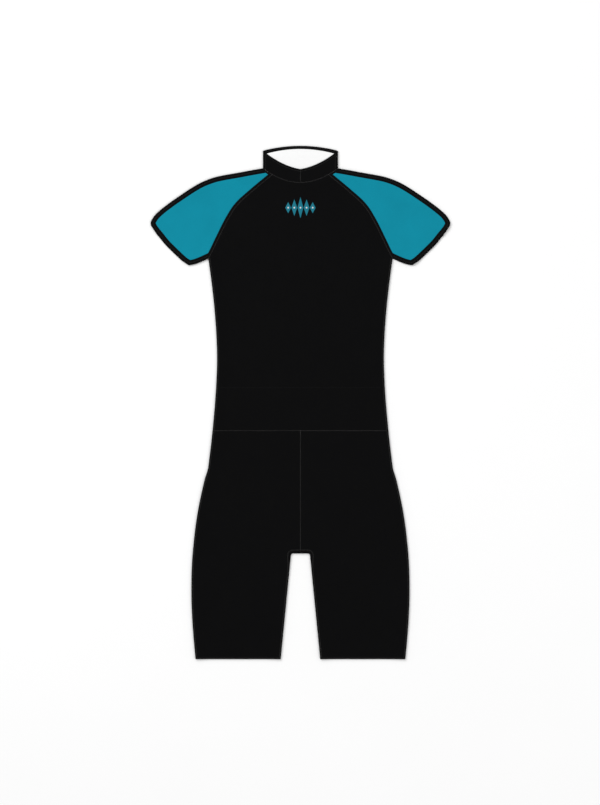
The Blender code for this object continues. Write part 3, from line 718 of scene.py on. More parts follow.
BLACK = (0.0026, 0.0026, 0.0028)
TEAL = (0.0045, 0.225, 0.316)
TAPE_BLACK = (0.012, 0.012, 0.013)
SLEEVE_TURN = math.radians(38)
TAPE_TURN = math.radians(45)

Look = namedtuple("Look", "material slot")
KNIT = Look(knit("black_knit", BLACK), "black_knit")
SLEEVE_LEFT = Look(knit("teal_knit_left", TEAL, SLEEVE_TURN, sheen=0.06), "teal_knit")
SLEEVE_RIGHT = Look(knit("teal_knit_right", TEAL, -SLEEVE_TURN, sheen=0.06), "teal_knit")
BAND = Look(ribbed("black_band", BLACK), "black_band")
FACING = mottled("brushed_facing", (0.9, 0.9, 0.9), 0.9, 0.12, 0.8, level=0.15, sheen=0.25, vary=0.05)
WOVEN = ribbed("woven_tape", TAPE_BLACK, pitch=0.55, deep=0.1, rough=0.75, turn=TAPE_TURN)
CHARCOAL = mottled("charcoal_thread", (0.022, 0.021, 0.0205), 0.25, 0.05, 0.55, vary=0.2)
DARK = mottled("black_thread", (0.006, 0.006, 0.0063), 0.25, 0.05, 0.55, level=0.2, vary=0.2)
COATED = mottled("coated_slider", (0.08, 0.08, 0.085), 1.4, 0.02, 0.36, metallic=1.0, vary=0.12)
INK = mottled("print_teal", times(TEAL, 0.72), 0.4, 0.03, 0.5, level=0.2, vary=0.06)
PALE_INK = mottled("print_pale", (0.6, 0.63, 0.64), 0.4, 0.03, 0.5, level=0.2, vary=0.05)
FACING_CLOTH = Look(FACING, "pale_facing")
TAPE_CLOTH = Look(WOVEN, "zip_tape")
THREAD = Look(CHARCOAL, "black_band")
THREAD_BLACK = Look(DARK, "black_band")
NYLON = Look(mottled("nylon_coil", TAPE_BLACK, 0.8, 0.02, 0.38, level=0.4), "zip_tape")
GUNMETAL = Look(COATED, "slider_metal")
PRINT_TEAL = Look(INK, "teal_knit")
PRINT_PALE = Look(PALE_INK, "pale_facing")
FLOOR = mottled("floor", (0.975, 0.975, 0.975), 3.0, 0.03, 0.85, level=0.1, vary=0.012, spot=60.0)


# Making pieces
def make(name, look, points, faces, mirror=False, nodes=()):
    """A piece of the garment from points in millimetres."""
    mesh = bpy.data.meshes.new(name)
    points = np.array(points, float) - (0, MIDDLE, 0)
    if mirror:
        points[:, 0] *= -1
        faces = [face[::-1] for face in faces]
    mesh.from_pydata((points * MM).tolist(), [], faces)
    body = bmesh.new()
    body.from_mesh(mesh)
    bmesh.ops.recalc_face_normals(body, faces=body.faces)
    body.to_mesh(mesh)
    body.free()
    mesh.shade_smooth()
    mesh.set_sharp_from_angle(angle=SHARP)
    mesh.materials.append(look.material)
    piece = bpy.data.objects.new(name, mesh)
    bpy.context.scene.collection.objects.link(piece)
    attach(piece, "root")
    if nodes:
        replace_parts(piece, *nodes)
    return piece


def joined(name, pieces):
    """Several pieces as one."""
    whole = bmesh.new()
    for piece in pieces:
        whole.from_mesh(piece.data)
    whole.to_mesh(pieces[0].data)
    whole.free()
    for piece in pieces[1:]:
        bpy.data.objects.remove(piece)
    pieces[0].name = name
    pieces[0].data.name = name
    return pieces[0]


TRIMS = {}


def declare(piece, rests_on):
    """Returns the piece as it is; the sheet's cut is not noted."""
    if not rests_on:
        return piece
    return piece


def goes_with(sheet, piece):
    """Notes a narrow trim that goes with a sheet."""
    TRIMS.setdefault(sheet, []).append(piece)


def caps(triangles, count, extra, last):
    """The faces of a sheet's two sides, from triangles over the count places of its rim and extra inside it.

    The lower rim comes first, the upper one starts at last, and the places inside both come after it.
    """
    below = [k if k < count else k + last for k in range(count + extra)]
    above = [k + last if k < count else k + last + extra for k in range(count + extra)]
    low = [tuple(below[k] for k in reversed(face)) for face in triangles]
    return low + [tuple(above[k] for k in face) for face in triangles]


def shell(name, look, parts, low, high, mirror=False, nodes=(), grid=None, edge=EDGE):
    """A closed sheet with rounded edges between two heights.

    Each height is a number, or a function of some places and the sheet's rim.
    """
    points, before, after = outline(trimmed(parts, [np.max(gap) + edge for _, gap in parts]))

    def ring(depth):
        return inset(points, before + depth, after + depth)

    def at(height, places):
        return height(places, rim) if callable(height) else np.full(len(places), float(height))

    rim = ring(edge)
    inner = inner_places(rim, *grid) if grid else np.zeros((0, 2))
    triangles = filled(rim, inner)
    count, extra = len(rim), len(inner)
    turn = ROUNDING * edge
    rings = (
        (edge, low, 0),
        (turn, low, turn),
        (0, low, edge),
        (0, high, -edge),
        (turn, high, -turn),
        (edge, high, 0),
    )
    vertices = []
    for depth, base, rise in rings:
        here = ring(depth)
        vertices.append(np.column_stack([here, at(base, here) + rise]))
    vertices.append(np.column_stack([inner, at(low, inner)]))
    vertices.append(np.column_stack([inner, at(high, inner)]))
    faces = caps(triangles, count, extra, (len(rings) - 1) * count)
    for r in range(len(rings) - 1):
        for i in range(count):
            j = (i + 1) % count
            faces.append((i + r * count, j + r * count, j + (r + 1) * count, i + (r + 1) * count))
    return make(name, look, np.vstack(vertices), faces, mirror, nodes)


def front(node, look, parts, mirror=False, rests_on=()):
    """A front panel, which follows the height of the front."""

    def top(places, rim):
        return under(places, rim) + CLOTH

    piece = shell(f"{node}_cloth", look, parts, under, top, mirror, (node,), (NEAR, FAR))
    return declare(piece, rests_on)


def plate(node, look, parts, layer=(LIFT, CLOTH), mirror=False, rests_on=()):
    """A piece that lies level."""
    piece = shell(f"{node}_cloth", look, parts, *layer, mirror, (node,), (BACK_GRID, BACK_GRID))
    return declare(piece, rests_on)


def wrapped(node, look, parts, rolls, mirror=False, turned=None, rests_on=()):
    """A back panel that rolls round the garment's edge to its seam on the front.

    rolls says which parts roll and how far in from the edge their seams lie: {part: reach}. turned
    gives other directions for the sides before and after a part's first corner, once on the front.
    """
    deep = [np.max(rolls.get(k, gap)) for k, (_, gap) in enumerate(parts)]
    whole = parts
    parts = trimmed(parts, deep)
    points, before, after = outline(parts)
    count = len(points)
    starts = np.cumsum([0] + [len(line) - 1 for line, _ in parts])
    rolled = {}
    into, out = np.zeros(count, bool), np.zeros(count, bool)
    for part, reach in rolls.items():
        numbers = np.arange(starts[part], starts[part + 1] + 1) % count
        if np.ndim(reach):
            reach = [reach[np.argmin(np.hypot(*(whole[part][0] - place).T))] for place in parts[part][0]]
        rolled[part] = (numbers, np.broadcast_to(reach, len(numbers)))
        out[numbers[:-1]] = True
        into[numbers[1:]] = True

    turned = {starts[part] % count: sides for part, sides in (turned or {}).items()}

    def at(depth, sides=None):
        return inset(points, np.where(into, depth, before), np.where(out, depth, after), sides)

    flat = at(FOLD_RADIUS)
    inner_flat = inner_places(flat, BACK_GRID, BACK_GRID)
    triangles = filled(flat, inner_flat)
    extra = len(inner_flat)
    vertices = [
        *np.column_stack([flat, np.full(count, LIFT)]),
        *np.column_stack([flat, np.full(count, CLOTH)]),
        *np.column_stack([inner_flat, np.full(extra, LIFT)]),
        *np.column_stack([inner_flat, np.full(extra, CLOTH)]),
    ]
    faces = caps(triangles, count, extra, count)
    for i in range(count):
        if not out[i]:
            j = (i + 1) % count
            faces.append((i, j, j + count, i + count))

    for numbers, reach in rolled.values():
        outer, inner = [numbers.tolist()], [(numbers + count).tolist()]

        def ring(places, heights, skin):
            start = len(vertices)
            vertices.extend(np.column_stack([places, heights]))
            skin.append(list(range(start, start + len(numbers))))

        for k in range(1, ARC_SIDES + 1):
            turn = math.pi * k / ARC_SIDES - math.pi / 2
            share = k / ARC_SIDES
            for radius, skin, lift in ((FOLD_RADIUS, outer, LIFT), (FOLD_RADIUS - CLOTH, inner, 0)):
                depth = FOLD_RADIUS - radius * math.cos(turn)
                places = at(depth) * (1 - share) + at(depth, turned) * share
                height = FOLD_RADIUS + radius * math.sin(turn) + lift * (1 - math.sin(turn)) / 2
                ring(places[numbers], np.full(len(numbers), height), skin)
        far = reach - HALF_SEAM
        facets = max(1, round((far.max() - EDGE - FOLD_RADIUS) / FACET))
        level = far - EDGE - FOLD_RADIUS
        stops = [(FOLD_RADIUS + level * k / facets, 0) for k in range(1, facets + 1)]
        stops += [(far - ROUNDING * EDGE, ROUNDING * EDGE), (far, EDGE)]
        for stop, drop in stops:
            depth = np.zeros(count)
            depth[numbers] = stop
            places = at(depth, turned)[numbers]
            low = under(places)
            ring(places, low + CLOTH - drop, outer)
            ring(places, low + drop, inner)
        for skin in (outer, inner):
            for here, there in zip(skin, skin[1:]):
                for i in range(len(numbers) - 1):
                    faces.append((here[i], here[i + 1], there[i + 1], there[i]))
        for i in range(len(numbers) - 1):
            faces.append((outer[-1][i], outer[-1][i + 1], inner[-1][i + 1], inner[-1][i]))
        for end in (0, -1):
            for k in range(len(outer) - 1):
                faces.append((outer[k][end], outer[k + 1][end], inner[k + 1][end], inner[k][end]))
    piece = make(f"{node}_cloth", look, vertices, faces, mirror, (node,))
    return declare(piece, rests_on)


HALF_SEAM = SEAM / 2
OPEN = 0.0
ON_FOLD = REACH + HALF_SEAM
SIDES = (("left", False), ("right", True))
ON_FLOOR = ("floor",)


def seams(*lines):
    """Parts that are sewn to other pieces."""
    return [(line, HALF_SEAM) for line in lines]


def edges(*lines):
    """Parts that are open edges."""
    return [(line, OPEN) for line in lines]


def polygon(*corners, step=STEP):
    """Open edges from corner to corner and back to the first."""
    return edges(*(straight(a, b, step=step) for a, b in zip(corners, (*corners[1:], corners[0]))))


def cut(*parts, whole=False):
    """Parts whose lines end where they meet the parts before and after; whole keeps the first as it is."""
    lines = [line for line, _ in parts]
    following = [*lines[1:], lines[0]]
    return [
        (line if whole and k == 0 else between(line, lines[k - 1], following[k]), gap)
        for k, (line, gap) in enumerate(parts)
    ]


def body():
    right = [(BODY_SIDE, ON_FOLD), *seams(RAGLAN[::-1], graph(neck_front, RAGLAN_NECK_FRONT, 0))]
    waist = straight((-HIP_HALF, HIP_SEAM), (HIP_HALF, HIP_SEAM))
    rests = ("back_body_left_cloth", "back_body_right_cloth")
    front("front_body", KNIT, [*right, *mirrored(right), *seams(waist)], rests_on=rests)
    zip_top = (ZIP_HALF, neck_back(ZIP_HALF))
    zip_low = (ZIP_HALF, ZIP_LOW)
    back = [
        (BODY_SIDE, FOLD_RADIUS),
        *seams(
            RAGLAN_BACK[::-1],
            graph(neck_back, RAGLAN_NECK_BACK, ZIP_HALF),
            straight(zip_top, zip_low, (0, ZIP_LOW - ZIP_POINT), (0, HIP_SEAM), step=ZIP_STEP),
            straight((0, HIP_SEAM), (HIP_HALF, HIP_SEAM)),
        ),
    ]
    for side, mirror in SIDES:
        wrapped(f"back_body_{side}", KNIT, back, {0: REACH}, mirror, rests_on=ON_FLOOR)


def sleeve(side, mirror):
    look = SLEEVE_RIGHT if mirror else SLEEVE_LEFT
    outer = (UNDERARM_LINE, CUFF_LINE, OVERARM_LINE)
    teal_front = cut(*seams(TAPE_LINE, *outer, NECK_LINE[::-1]))
    teal_back = cut(*seams(TAPE_LINE_BACK, *outer, BAND_END[::-1], NECK_LINE_BACK[::-1]))
    rests = (f"sleeve_back_{side}_cloth",)
    front(f"sleeve_front_{side}", look, teal_front, mirror, rests_on=rests)
    plate(f"sleeve_back_{side}", look, teal_back, mirror=mirror, rests_on=ON_FLOOR)


def sleeve_bands(side, mirror):
    overarm = cut(
        (OVERARM, FOLD_RADIUS), *seams(BAND_END, OVERARM_LINE[::-1]), (CUFF, OPEN), whole=True
    )
    wrapped(
        f"overarm_band_{side}",
        BAND,
        overarm,
        {0: OVERARM_BAND},
        mirror,
        turned={1: (None, (-1, -NECK_SLOPE))},
        rests_on=ON_FLOOR,
    )
    cuff = cut((CUFF, OPEN), *seams(OVERARM_LINE, CUFF_LINE[::-1], UNDERARM_LINE))
    rests = (f"cuff_band_back_{side}_cloth",)
    front(f"cuff_band_front_{side}", BAND, cuff, mirror, rests)
    plate(f"cuff_band_back_{side}", BAND, cuff, mirror=mirror, rests_on=ON_FLOOR)
    underarm = cut((UNDERARM, FOLD_RADIUS), (CUFF, OPEN), *seams(UNDERARM_LINE[::-1], TAPE_LINE))
    wrapped(
        f"underarm_band_{side}",
        BAND,
        underarm,
        {0: UNDERARM_BAND},
        mirror,
        rests_on=ON_FLOOR,
    )


def raglan_tapes(side, mirror):
    front_tape = cut(
        (RAGLAN, HALF_SEAM),
        (UNDERARM, ON_FOLD),
        *seams(TAPE_LINE[::-1], NECK_LINE, OVERARM_LINE, NECK_FRONT[::-1]),
        whole=True,
    )
    back_tape = cut(
        (RAGLAN_BACK, HALF_SEAM),
        (UNDERARM, FOLD_RADIUS),
        *seams(TAPE_LINE_BACK[::-1], NECK_LINE_BACK, BAND_END[::-1], NECK_BACK[::-1]),
        whole=True,
    )
    made = front(f"raglan_tape_front_{side}", BAND, front_tape, mirror)
    goes_with(f"sleeve_front_{side}_cloth", made)
    made = wrapped(f"raglan_tape_back_{side}", BAND, back_tape, {1: REACH}, mirror)
    goes_with(f"sleeve_back_{side}_cloth", made)


def collar(side, mirror):
    edge = straight((COLLAR_HALF, NECK_SIDE), (COLLAR_HALF, COLLAR_SIDE))
    dip = graph(collar_dip, COLLAR_HALF, 0)
    front_half = [
        *seams(NECK_FRONT),
        (edge, ON_FOLD),
        (dip, OPEN),
        *seams(straight((0, COLLAR_FRONT), (0, neck_front(0)))),
    ]
    rests = (f"collar_back_{side}_cloth", "collar_facing_cloth")
    front(f"collar_front_{side}", KNIT, front_half, mirror, rests_on=rests)
    back_half = [
        *seams(graph(neck_back, ZIP_HALF, COLLAR_HALF)),
        (edge, FOLD_RADIUS),
        (graph(collar_arch, COLLAR_HALF, ZIP_HALF), OPEN),
        *seams(straight((ZIP_HALF, collar_arch(ZIP_HALF)), (ZIP_HALF, neck_back(ZIP_HALF)))),
    ]
    turned = {1: ((1, NECK_SLOPE), None), 2: (None, dip[1] - dip[0])}
    wrapped(f"collar_back_{side}", KNIT, back_half, {1: REACH}, mirror, turned, rests_on=ON_FLOOR)


def collar_inside():
    def low_edge(x):
        return collar_arch(x) - EDGE_TAPE - EDGE_TAPE_MORE * (x / COLLAR_HALF) ** 2

    side_low = (FACING_HALF, low_edge(FACING_HALF))
    tape = [
        *seams(graph(low_edge, 0, FACING_HALF)),
        *edges(straight(side_low, (FACING_HALF, collar_arch(FACING_HALF)))),
        *edges(graph(collar_arch, FACING_HALF, 0)),
        *seams(straight((0, LENGTH), (0, LENGTH - EDGE_TAPE))),
    ]
    for side, mirror in SIDES:
        made = plate(f"collar_edge_tape_{side}", BAND, tape, EDGE_TAPE_LAYER, mirror)
        goes_with("collar_facing_cloth", made)
    facing = [
        *edges(straight((-FACING_HALF, FACING_LOW), (FACING_HALF, FACING_LOW))),
        *edges(straight((FACING_HALF, FACING_LOW), side_low)),
        *seams(graph(low_edge, FACING_HALF, -FACING_HALF)),
        *edges(straight((-FACING_HALF, low_edge(FACING_HALF)), (-FACING_HALF, FACING_LOW))),
    ]
    rests = ("collar_back_left_cloth", "collar_back_right_cloth")
    plate("collar_facing", FACING_CLOTH, facing, FACING_LAYER, rests_on=rests)


def shorts(side, mirror):
    waist = straight((HIP_HALF, HIP_SEAM), (0, HIP_SEAM))
    centre = straight((0, HIP_SEAM), (0, CROTCH))
    hem = straight((HEM_INNER, 0), (SIDE_ROWS[0].half, 0))
    reach = crotch_reach()

    def half(side_gap, leg_gap):
        return [(LEG_SIDE, side_gap), *seams(waist, centre), (INNER_LEG, leg_gap), (hem, OPEN)]

    rests = (f"shorts_back_{side}_cloth",)
    front(f"shorts_front_{side}", KNIT, half(ON_FOLD, reach + HALF_SEAM), mirror, rests_on=rests)
    back_half = half(FOLD_RADIUS, FOLD_RADIUS)
    rolls = {0: REACH, 3: reach}
    wrapped(f"shorts_back_{side}", KNIT, back_half, rolls, mirror, rests_on=ON_FLOOR)


# The zip: its tapes rise over the slider and the pull, which lie between them and the surface
ZIP_TAPE_LOW = 0.45
ZIP_TAPE_THICK = 0.65
ZIP_TAPE_EDGE = 0.2
ZIP_RISE = 0.5
RISE_RUN = 8.0
RISE_START = SLIDER_TOP - SLIDER_LONG - PULL_LONG - RISE_RUN
SUNK = 0.02  # how far the coil's middle lies below the tapes' outer face

# Its coil, from COIL_START above the zip's low end to COIL_END below the slider's top
COIL_START = 6.0
COIL_END = 2.0
COIL_PITCH = 1.25
COIL_HALF = 1.7
COIL_PAST = 0.35  # how far a bar reaches past the centre line
COIL_SLANT = 0.12  # and rises on its way, as a share of the pitch
COIL_TALL = 0.36
COIL_THICK = 0.30
COIL_TAPER = 0.75
STOP_UP = 4.4  # of the bottom stop above the zip's low end
STOP_HALF = 1.9
STOP_TALL = 0.42
STOP_THICK = 0.9
STOP_TAPER = 0.8

# Its slider and pull; a layer is the lowest and the highest height
OUTER_LAYER = (0.5, 0.88)
INNER_LAYER = (1.66, 2.0)
WEDGE_LAYER = (0.7, 1.85)
BRIDGE_LAYER = (0.02, 0.6)
PULL_LAYER = (0.02, 0.42)
METAL_EDGE = 0.15
WEDGE_EDGE = 0.1
WEDGE_HALF = 0.7
WEDGE_TOP = 0.3  # below the slider's top
WEDGE_TIP = 3.6
BRIDGE_HALF = 0.6
BRIDGE_LOW = 2.0  # above the slider's low end
BRIDGE_TOP = 7.2
PULL_UNDER = 1.6  # how far the pull runs in under the slider


def tape_low(places, rim=None):
    """The height of the zip tapes' outer face, which is the same close to their rim."""
    share = 1 - eased((places[:, 1] - RISE_START) / RISE_RUN)
    return ZIP_TAPE_LOW + ZIP_RISE * share


def tape_high(places, rim=None):
    return tape_low(places) + ZIP_TAPE_THICK


def zip_tapes():
    tape = [
        *seams(
            straight((0, ZIP_LOW - ZIP_POINT), (ZIP_HALF, ZIP_LOW)),
            straight((ZIP_HALF, ZIP_LOW), (ZIP_HALF, collar_arch(ZIP_HALF))),
        ),
        *edges(graph(collar_arch, ZIP_HALF, 0)),
        *seams(straight((0, LENGTH), (0, ZIP_LOW - ZIP_POINT))),
    ]
    for side, mirror in SIDES:
        node = f"zip_tape_{side}"
        grid = (NEAR, NEAR)
        made = shell(
            f"{node}_cloth", TAPE_CLOTH, tape, tape_low, tape_high, mirror, (node,), grid, ZIP_TAPE_EDGE
        )
        goes_with(f"back_body_{side}_cloth", made)


def strands(name, look, pairs, heights, tall, half_wide, ends, share=0.35):
    """Short rounded strands from place to place, in one piece.

    heights are those of the middles of the two ends; ends is how far these sink; share is the ends' size.
    """
    start, end = pairs[:, 0], pairs[:, 1]
    run = end - start
    side = left_of(run)
    rings, sides = 4, 6
    vertices = np.zeros((len(pairs), rings, sides, 3))
    for r, (t, size, sink) in enumerate(((0, share, ends), (0.25, 1, 0), (0.75, 1, 0), (1, share, ends))):
        middle = start + run * t
        height = heights[:, 0] * (1 - t) + heights[:, 1] * t - sink
        for s in range(sides):
            turn = 2 * math.pi * s / sides
            vertices[:, r, s, :2] = middle + side * (math.cos(turn) * half_wide * size)
            vertices[:, r, s, 2] = height + math.sin(turn) * tall * size
    base = np.arange(rings * sides).reshape(rings, sides)
    skin = []
    for r in range(rings - 1):
        for s in range(sides):
            n = (s + 1) % sides
            skin.append((base[r, s], base[r, n], base[r + 1, n], base[r + 1, s]))
    faces = [
        tuple(int(v) + k * rings * sides for v in face)
        for group in (skin, (base[0][::-1], base[-1]))
        for k in range(len(pairs))
        for face in group
    ]
    return make(name, look, vertices.reshape(-1, 3), faces)


def bars_on_tapes(name, look, bars, tall, half_wide, taper):
    """Bars that lie across the zip tapes' outer face."""
    pairs = np.array(bars)
    low = tape_low(pairs.reshape(-1, 2)).reshape(-1, 2)
    strands(name, look, pairs, low - SUNK, tall, half_wide, 0.0, taper)


def coil():
    """The zip's coil, whose bars reach across from each side in turn, and its bottom stop."""
    start, end = ZIP_LOW + COIL_START, SLIDER_TOP - COIL_END
    bars = []
    for k in range(int((end - start) / COIL_PITCH)):
        for shift, sign in ((0.0, 1), (0.5, -1)):
            up = start + (k + shift) * COIL_PITCH
            bars.append(((sign * COIL_HALF, up), (-sign * COIL_PAST, up + COIL_PITCH * COIL_SLANT)))
    bars_on_tapes("zip_coil", NYLON, bars, COIL_TALL, COIL_THICK, COIL_TAPER)
    stop_up = ZIP_LOW + STOP_UP
    stop = [((-STOP_HALF, stop_up), (STOP_HALF, stop_up))]
    bars_on_tapes("zip_bottom_stop", GUNMETAL, stop, STOP_TALL, STOP_THICK, STOP_TAPER)


def slider():
    """The slider's two plates, the wedge between them and its bridge, and the ribbon pull."""
    top, low = SLIDER_TOP, SLIDER_TOP - SLIDER_LONG
    places = [
        Place(SLIDER_HALF * SLIDER_WAIST, low),
        Place(SLIDER_HALF, low + SLIDER_LONG * SLIDER_WIDEST),
        Place(SLIDER_HALF * SLIDER_NOSE, top),
    ]
    right = smooth(places, SLIDER_STEP)
    left = right[::-1] * (-1, 1)
    shape = edges(right, straight(right[-1], left[0]), left, straight(left[-1], right[0]))
    wedge_top = top - WEDGE_TOP
    wedge = polygon((-WEDGE_HALF, wedge_top), (0, top - WEDGE_TIP), (WEDGE_HALF, wedge_top))
    bridge = polygon(
        (-BRIDGE_HALF, low + BRIDGE_LOW),
        (BRIDGE_HALF, low + BRIDGE_LOW),
        (BRIDGE_HALF, low + BRIDGE_TOP),
        (-BRIDGE_HALF, low + BRIDGE_TOP),
        step=SMALL_STEP,
    )
    made = [
        shell("slider_outer", GUNMETAL, shape, *OUTER_LAYER, edge=METAL_EDGE),
        shell("slider_inner", GUNMETAL, shape, *INNER_LAYER, edge=METAL_EDGE),
        shell("slider_wedge", GUNMETAL, wedge, *WEDGE_LAYER, edge=WEDGE_EDGE),
        shell("slider_bridge", GUNMETAL, bridge, *BRIDGE_LAYER, edge=METAL_EDGE),
    ]
    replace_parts(joined("zip_slider_body", made), "zip_slider")

    high, end = low + PULL_UNDER, low - SEAM - PULL_LONG
    turns = np.linspace(0, math.pi, PULL_POINTS)
    round_end = [(-PULL_HALF * math.cos(a), end + PULL_HALF * (1 - math.sin(a))) for a in turns]
    ribbon = edges(
        np.array(round_end),
        straight(round_end[-1], (PULL_HALF, high)),
        straight((PULL_HALF, high), (-PULL_HALF, high), step=RIBBON_STEP),
        straight((-PULL_HALF, high), round_end[0]),
    )
    node = "zip_pull_ribbon"
    pull = shell(f"{node}_cloth", TAPE_CLOTH, ribbon, *PULL_LAYER, nodes=(node,), edge=METAL_EDGE)
    goes_with("back_body_left_cloth", pull)


# Sewing
THREAD_THICK = 0.17
THREAD_TALL = THREAD_THICK * 0.8
THREAD_UNEVEN = 0.06  # of the stitches' ends
THREAD_UP = 0.06  # of a stitch's middle over the front
THREAD_SUNK = 0.16  # of its ends below its middle
BACK_UP = 0.04  # of a stitch's middle below the back's outer face
BACK_SUNK = 0.12  # of its ends above its middle
INSIDE_UP = 0.05  # over the collar's edge tapes
ZIGZAG_PITCH = 1.9
ZIGZAG_HALF = 1.05
DASH = 2.3
DASH_GAP = 0.5
COLLAR_ROW = 4.6  # below the collar's edge
COLLAR_SIDE_ROW = 5.4  # in from its sides
EDGE_ROW = 3.0  # in from the hems and the collar's back edge
ZIP_ROW = 2.0  # out from the zip
WAIST_ROW_HALF = 160.0
STITCH_SEED = 3

# How far rows of stitches stop short of what lies at their ends
FIRST = 0.5
CLOSE = 1.0
JOIN = 1.5
CLEAR = 2.0
WIDE = 3.0


def spaced(line, step):
    """Places at even steps along a line."""
    far = np.concatenate([[0], np.cumsum(np.linalg.norm(np.diff(line, axis=0), axis=1))])
    at = np.arange(0, far[-1], step)
    return np.stack([np.interp(at, far, line[:, k]) for k in (0, 1)], 1)


def zigzag(line):
    """Stitches that cross a seam to and fro."""
    places = spaced(line, ZIGZAG_PITCH / 2)
    side = left_of(np.gradient(places, axis=0))
    sign = np.where(np.arange(len(places)) % 2, -1, 1)[:, None]
    places = places + side * sign * ZIGZAG_HALF
    return np.stack([places[:-1], places[1:]], 1)


def dashes(line):
    """A row of straight stitches."""
    starts = spaced(line, DASH + DASH_GAP)
    along = np.gradient(starts, axis=0)
    along /= np.linalg.norm(along, axis=1, keepdims=True)
    return np.stack([starts, starts + along * DASH], 1)[:-1]


def both(*pairs):
    """The same stitches on both halves."""
    pairs = np.concatenate(pairs)
    return np.concatenate([pairs, pairs * (-1, 1)])


def sew(name, look, *pairs, on_top=True, rim=None):
    """Stitches on the garment's upper face or on its back, none quite like the next."""
    chance = np.random.default_rng(STITCH_SEED)
    pairs = np.concatenate(pairs)
    pairs = pairs + chance.normal(0, THREAD_UNEVEN, pairs.shape)
    if on_top:
        heights = over(pairs.reshape(-1, 2), rim).reshape(-1, 2) + THREAD_UP
        strands(name, look, pairs, heights, THREAD_TALL, THREAD_THICK, THREAD_SUNK)
    else:
        heights = np.full(pairs.shape[:2], LIFT - BACK_UP)
        strands(name, look, pairs, heights, THREAD_TALL, THREAD_THICK, -BACK_SUNK)


def sewing():
    leg_seam = beside(INNER_LEG, crotch_reach())
    hem_row = straight((HEM_INNER + CLEAR, EDGE_ROW), (SIDE_ROWS[0].half - CLEAR, EDGE_ROW))
    waist = straight((WIDE - HIP_HALF, HIP_SEAM), (HIP_HALF - WIDE, HIP_SEAM))
    front_centre = straight((0, HIP_SEAM - JOIN), (0, CROTCH + CROTCH_REACH + CLOSE))
    sew("stitches_sides", THREAD, both(zigzag(beside(SIDE_LINE, REACH))))
    sew("stitches_legs", THREAD, both(zigzag(leg_seam)), both(dashes(hem_row)))
    sew("stitches_shorts", THREAD, zigzag(front_centre), zigzag(waist))
    sew("stitches_raglan", THREAD, both(zigzag(RAGLAN)))
    band_rows = (OVERARM_ROW, CUFF_ROW, UNDERARM_ROW)
    sew("stitches_sleeves", THREAD, both(*(dashes(row) for row in band_rows)))

    neck = graph(neck_front, CLEAR - COLLAR_HALF, COLLAR_HALF - CLEAR)
    centre = straight((0, COLLAR_FRONT - WIDE), (0, neck_front(0) + CLOSE))
    side = COLLAR_HALF - COLLAR_SIDE_ROW
    dip_row = graph(lambda x: collar_dip(x) - COLLAR_ROW, FIRST, side)
    side_row = straight((side, neck_front(side)), (side, collar_dip(side) - CLOSE))
    rows = (both(dashes(dip_row)), both(dashes(side_row)))
    sew("stitches_collar", THREAD, zigzag(neck), zigzag(centre), *rows)
    arch_row = graph(lambda x: collar_arch(x) - EDGE_ROW, FIRST, FACING_HALF - CLOSE)
    inside = both(dashes(arch_row))
    heights = np.full(inside.shape[:2], EDGE_TAPE_LAYER[1] + INSIDE_UP)
    strands(
        "stitches_collar_inside", THREAD, inside, heights, THREAD_TALL, THREAD_THICK, THREAD_SUNK
    )
    waist_row = straight((-WAIST_ROW_HALF, WAIST_ROW), (WAIST_ROW_HALF, WAIST_ROW))
    sew("stitches_waist", THREAD_BLACK, dashes(waist_row), rim=SIDE_LINE)

    back_centre = straight((0, HIP_SEAM + CLOSE), (0, ZIP_LOW - ZIP_POINT - CLOSE))
    shorts_centre = straight((0, HIP_SEAM - JOIN), (0, CROTCH + WIDE))
    neck_run = graph(neck_back, ZIP_HALF + CLOSE, COLLAR_HALF - WIDE)
    beside_zip = ZIP_HALF + ZIP_ROW
    zip_row = straight((beside_zip, ZIP_LOW - CLEAR), (beside_zip, collar_arch(ZIP_HALF) - CLOSE))
    arch_back = graph(lambda x: collar_arch(x) - EDGE_ROW, ZIP_HALF + WIDE, COLLAR_HALF - WIDE)
    zigzags = (both(zigzag(RAGLAN_BACK)), both(zigzag(neck_run)), zigzag(back_centre), zigzag(waist))
    sew("stitches_back_body", THREAD, *zigzags, on_top=False)
    rows = [both(dashes(row)) for row in (zip_row, arch_back, *band_rows, hem_row)]
    sew("stitches_back_rows", THREAD, *rows, zigzag(shorts_centre), on_top=False)


# A plain print on the chest: a row of lozenges with pale centres
Lozenge = namedtuple("Lozenge", "x tall")
CHEST_UP = 903.0
LOZENGES = (Lozenge(-24.5, 22), Lozenge(-12.25, 33), Lozenge(0, 42), Lozenge(12.25, 33), Lozenge(24.5, 22))
LOZENGE_WIDE = 11.5
DOT = 1.7
PRINT_THICK = 0.16
PRINT_EDGE = 0.06
LOZENGE_LIFT = 0.01
DOT_LIFT = 0.14


def printed(name, look, rings, lift):
    """Patches that follow the front's upper face, in one piece."""

    def low(places, rim):
        return over(places, SIDE_LINE) + lift

    def high(places, rim):
        return low(places, rim) + PRINT_THICK

    grid = (PRINT_GRID, PRINT_GRID)
    closed = [np.vstack([ring, ring[:1]]) for ring in rings]
    joined(name, [shell(name, look, edges(ring), low, high, grid=grid, edge=PRINT_EDGE) for ring in closed])


def chest_print():
    lozenges, dots = [], []
    turns = np.linspace(0, 2 * math.pi, DOT_POINTS, endpoint=False)
    for x, tall in LOZENGES:
        corners = (
            Place(x, CHEST_UP - tall / 2),
            Place(x + LOZENGE_WIDE / 2, CHEST_UP),
            Place(x, CHEST_UP + tall / 2),
            Place(x - LOZENGE_WIDE / 2, CHEST_UP),
        )
        lozenges.append(straight(*corners, corners[0], step=PRINT_STEP)[:-1])
        dots.append(np.stack([x + DOT * np.cos(turns), CHEST_UP + DOT * np.sin(turns)], 1))
    printed("chest_lozenges", PRINT_TEAL, lozenges, LOZENGE_LIFT)
    printed("chest_dots", PRINT_PALE, dots, DOT_LIFT)


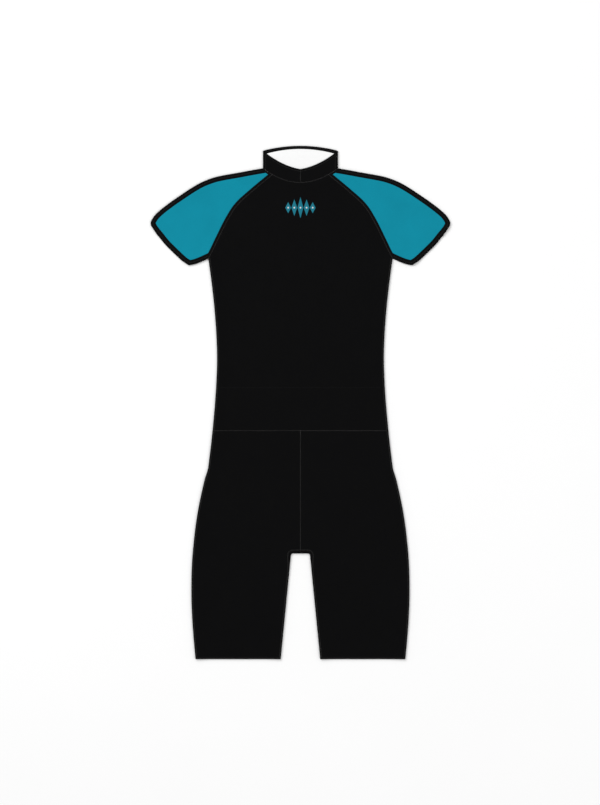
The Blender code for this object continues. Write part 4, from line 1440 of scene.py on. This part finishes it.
# Floor, light and camera, in metres
FLOOR_SIZE = 14.0
FLOOR_LOW = 0.0002  # below the garment
WORLD_STRENGTH = 0.55
Softbox = namedtuple("Softbox", "name place size power")
SOFTBOXES = (
    Softbox("key", (-2.4, 2.0, 3.2), 2.4, 100),
    Softbox("fill", (2.6, -1.4, 3.4), 2.8, 50),
)
FRAME_HIGH = 1.61
FRAME_LEVEL = 0.003  # the height at which the picture is FRAME_HIGH high
VIEW_LEFT = -0.0009
LENS = 90.0
SENSOR = 36.0
FARTHEST = 50


def floor():
    bpy.ops.mesh.primitive_plane_add(size=FLOOR_SIZE, location=(0, 0, -FLOOR_LOW))
    made = bpy.context.object
    made.name = "floor"
    made.data.materials.append(FLOOR)


def lighting():
    world = bpy.data.worlds.new("studio")
    world.use_nodes = True
    back = world.node_tree.nodes["Background"]
    back.inputs["Color"].default_value = (1, 1, 1, 1)
    back.inputs["Strength"].default_value = WORLD_STRENGTH
    bpy.context.scene.world = world
    for softbox in SOFTBOXES:
        light = bpy.data.lights.new(softbox.name, "AREA")
        light.shape = "SQUARE"
        light.size = softbox.size
        light.energy = softbox.power
        made = bpy.data.objects.new(softbox.name, light)
        made.location = softbox.place
        made.rotation_euler = Vector(softbox.place).to_track_quat("Z", "Y").to_euler()
        bpy.context.scene.collection.objects.link(made)


def camera():
    data = bpy.data.cameras.new("camera")
    data.lens = LENS
    data.sensor_width = SENSOR
    data.clip_end = FARTHEST
    made = bpy.data.objects.new("camera", data)
    made.location = (VIEW_LEFT, 0, FRAME_HIGH * LENS / SENSOR + FRAME_LEVEL)
    bpy.context.scene.collection.objects.link(made)
    bpy.context.scene.camera = made


def main():
    body()
    for side, mirror in SIDES:
        sleeve(side, mirror)
        sleeve_bands(side, mirror)
        raglan_tapes(side, mirror)
        collar(side, mirror)
        shorts(side, mirror)
    collar_inside()
    zip_tapes()
    coil()
    slider()
    sewing()
    chest_print()
    floor()
    lighting()
    camera()
    bpy.context.scene.view_settings.view_transform = "Standard"


main()
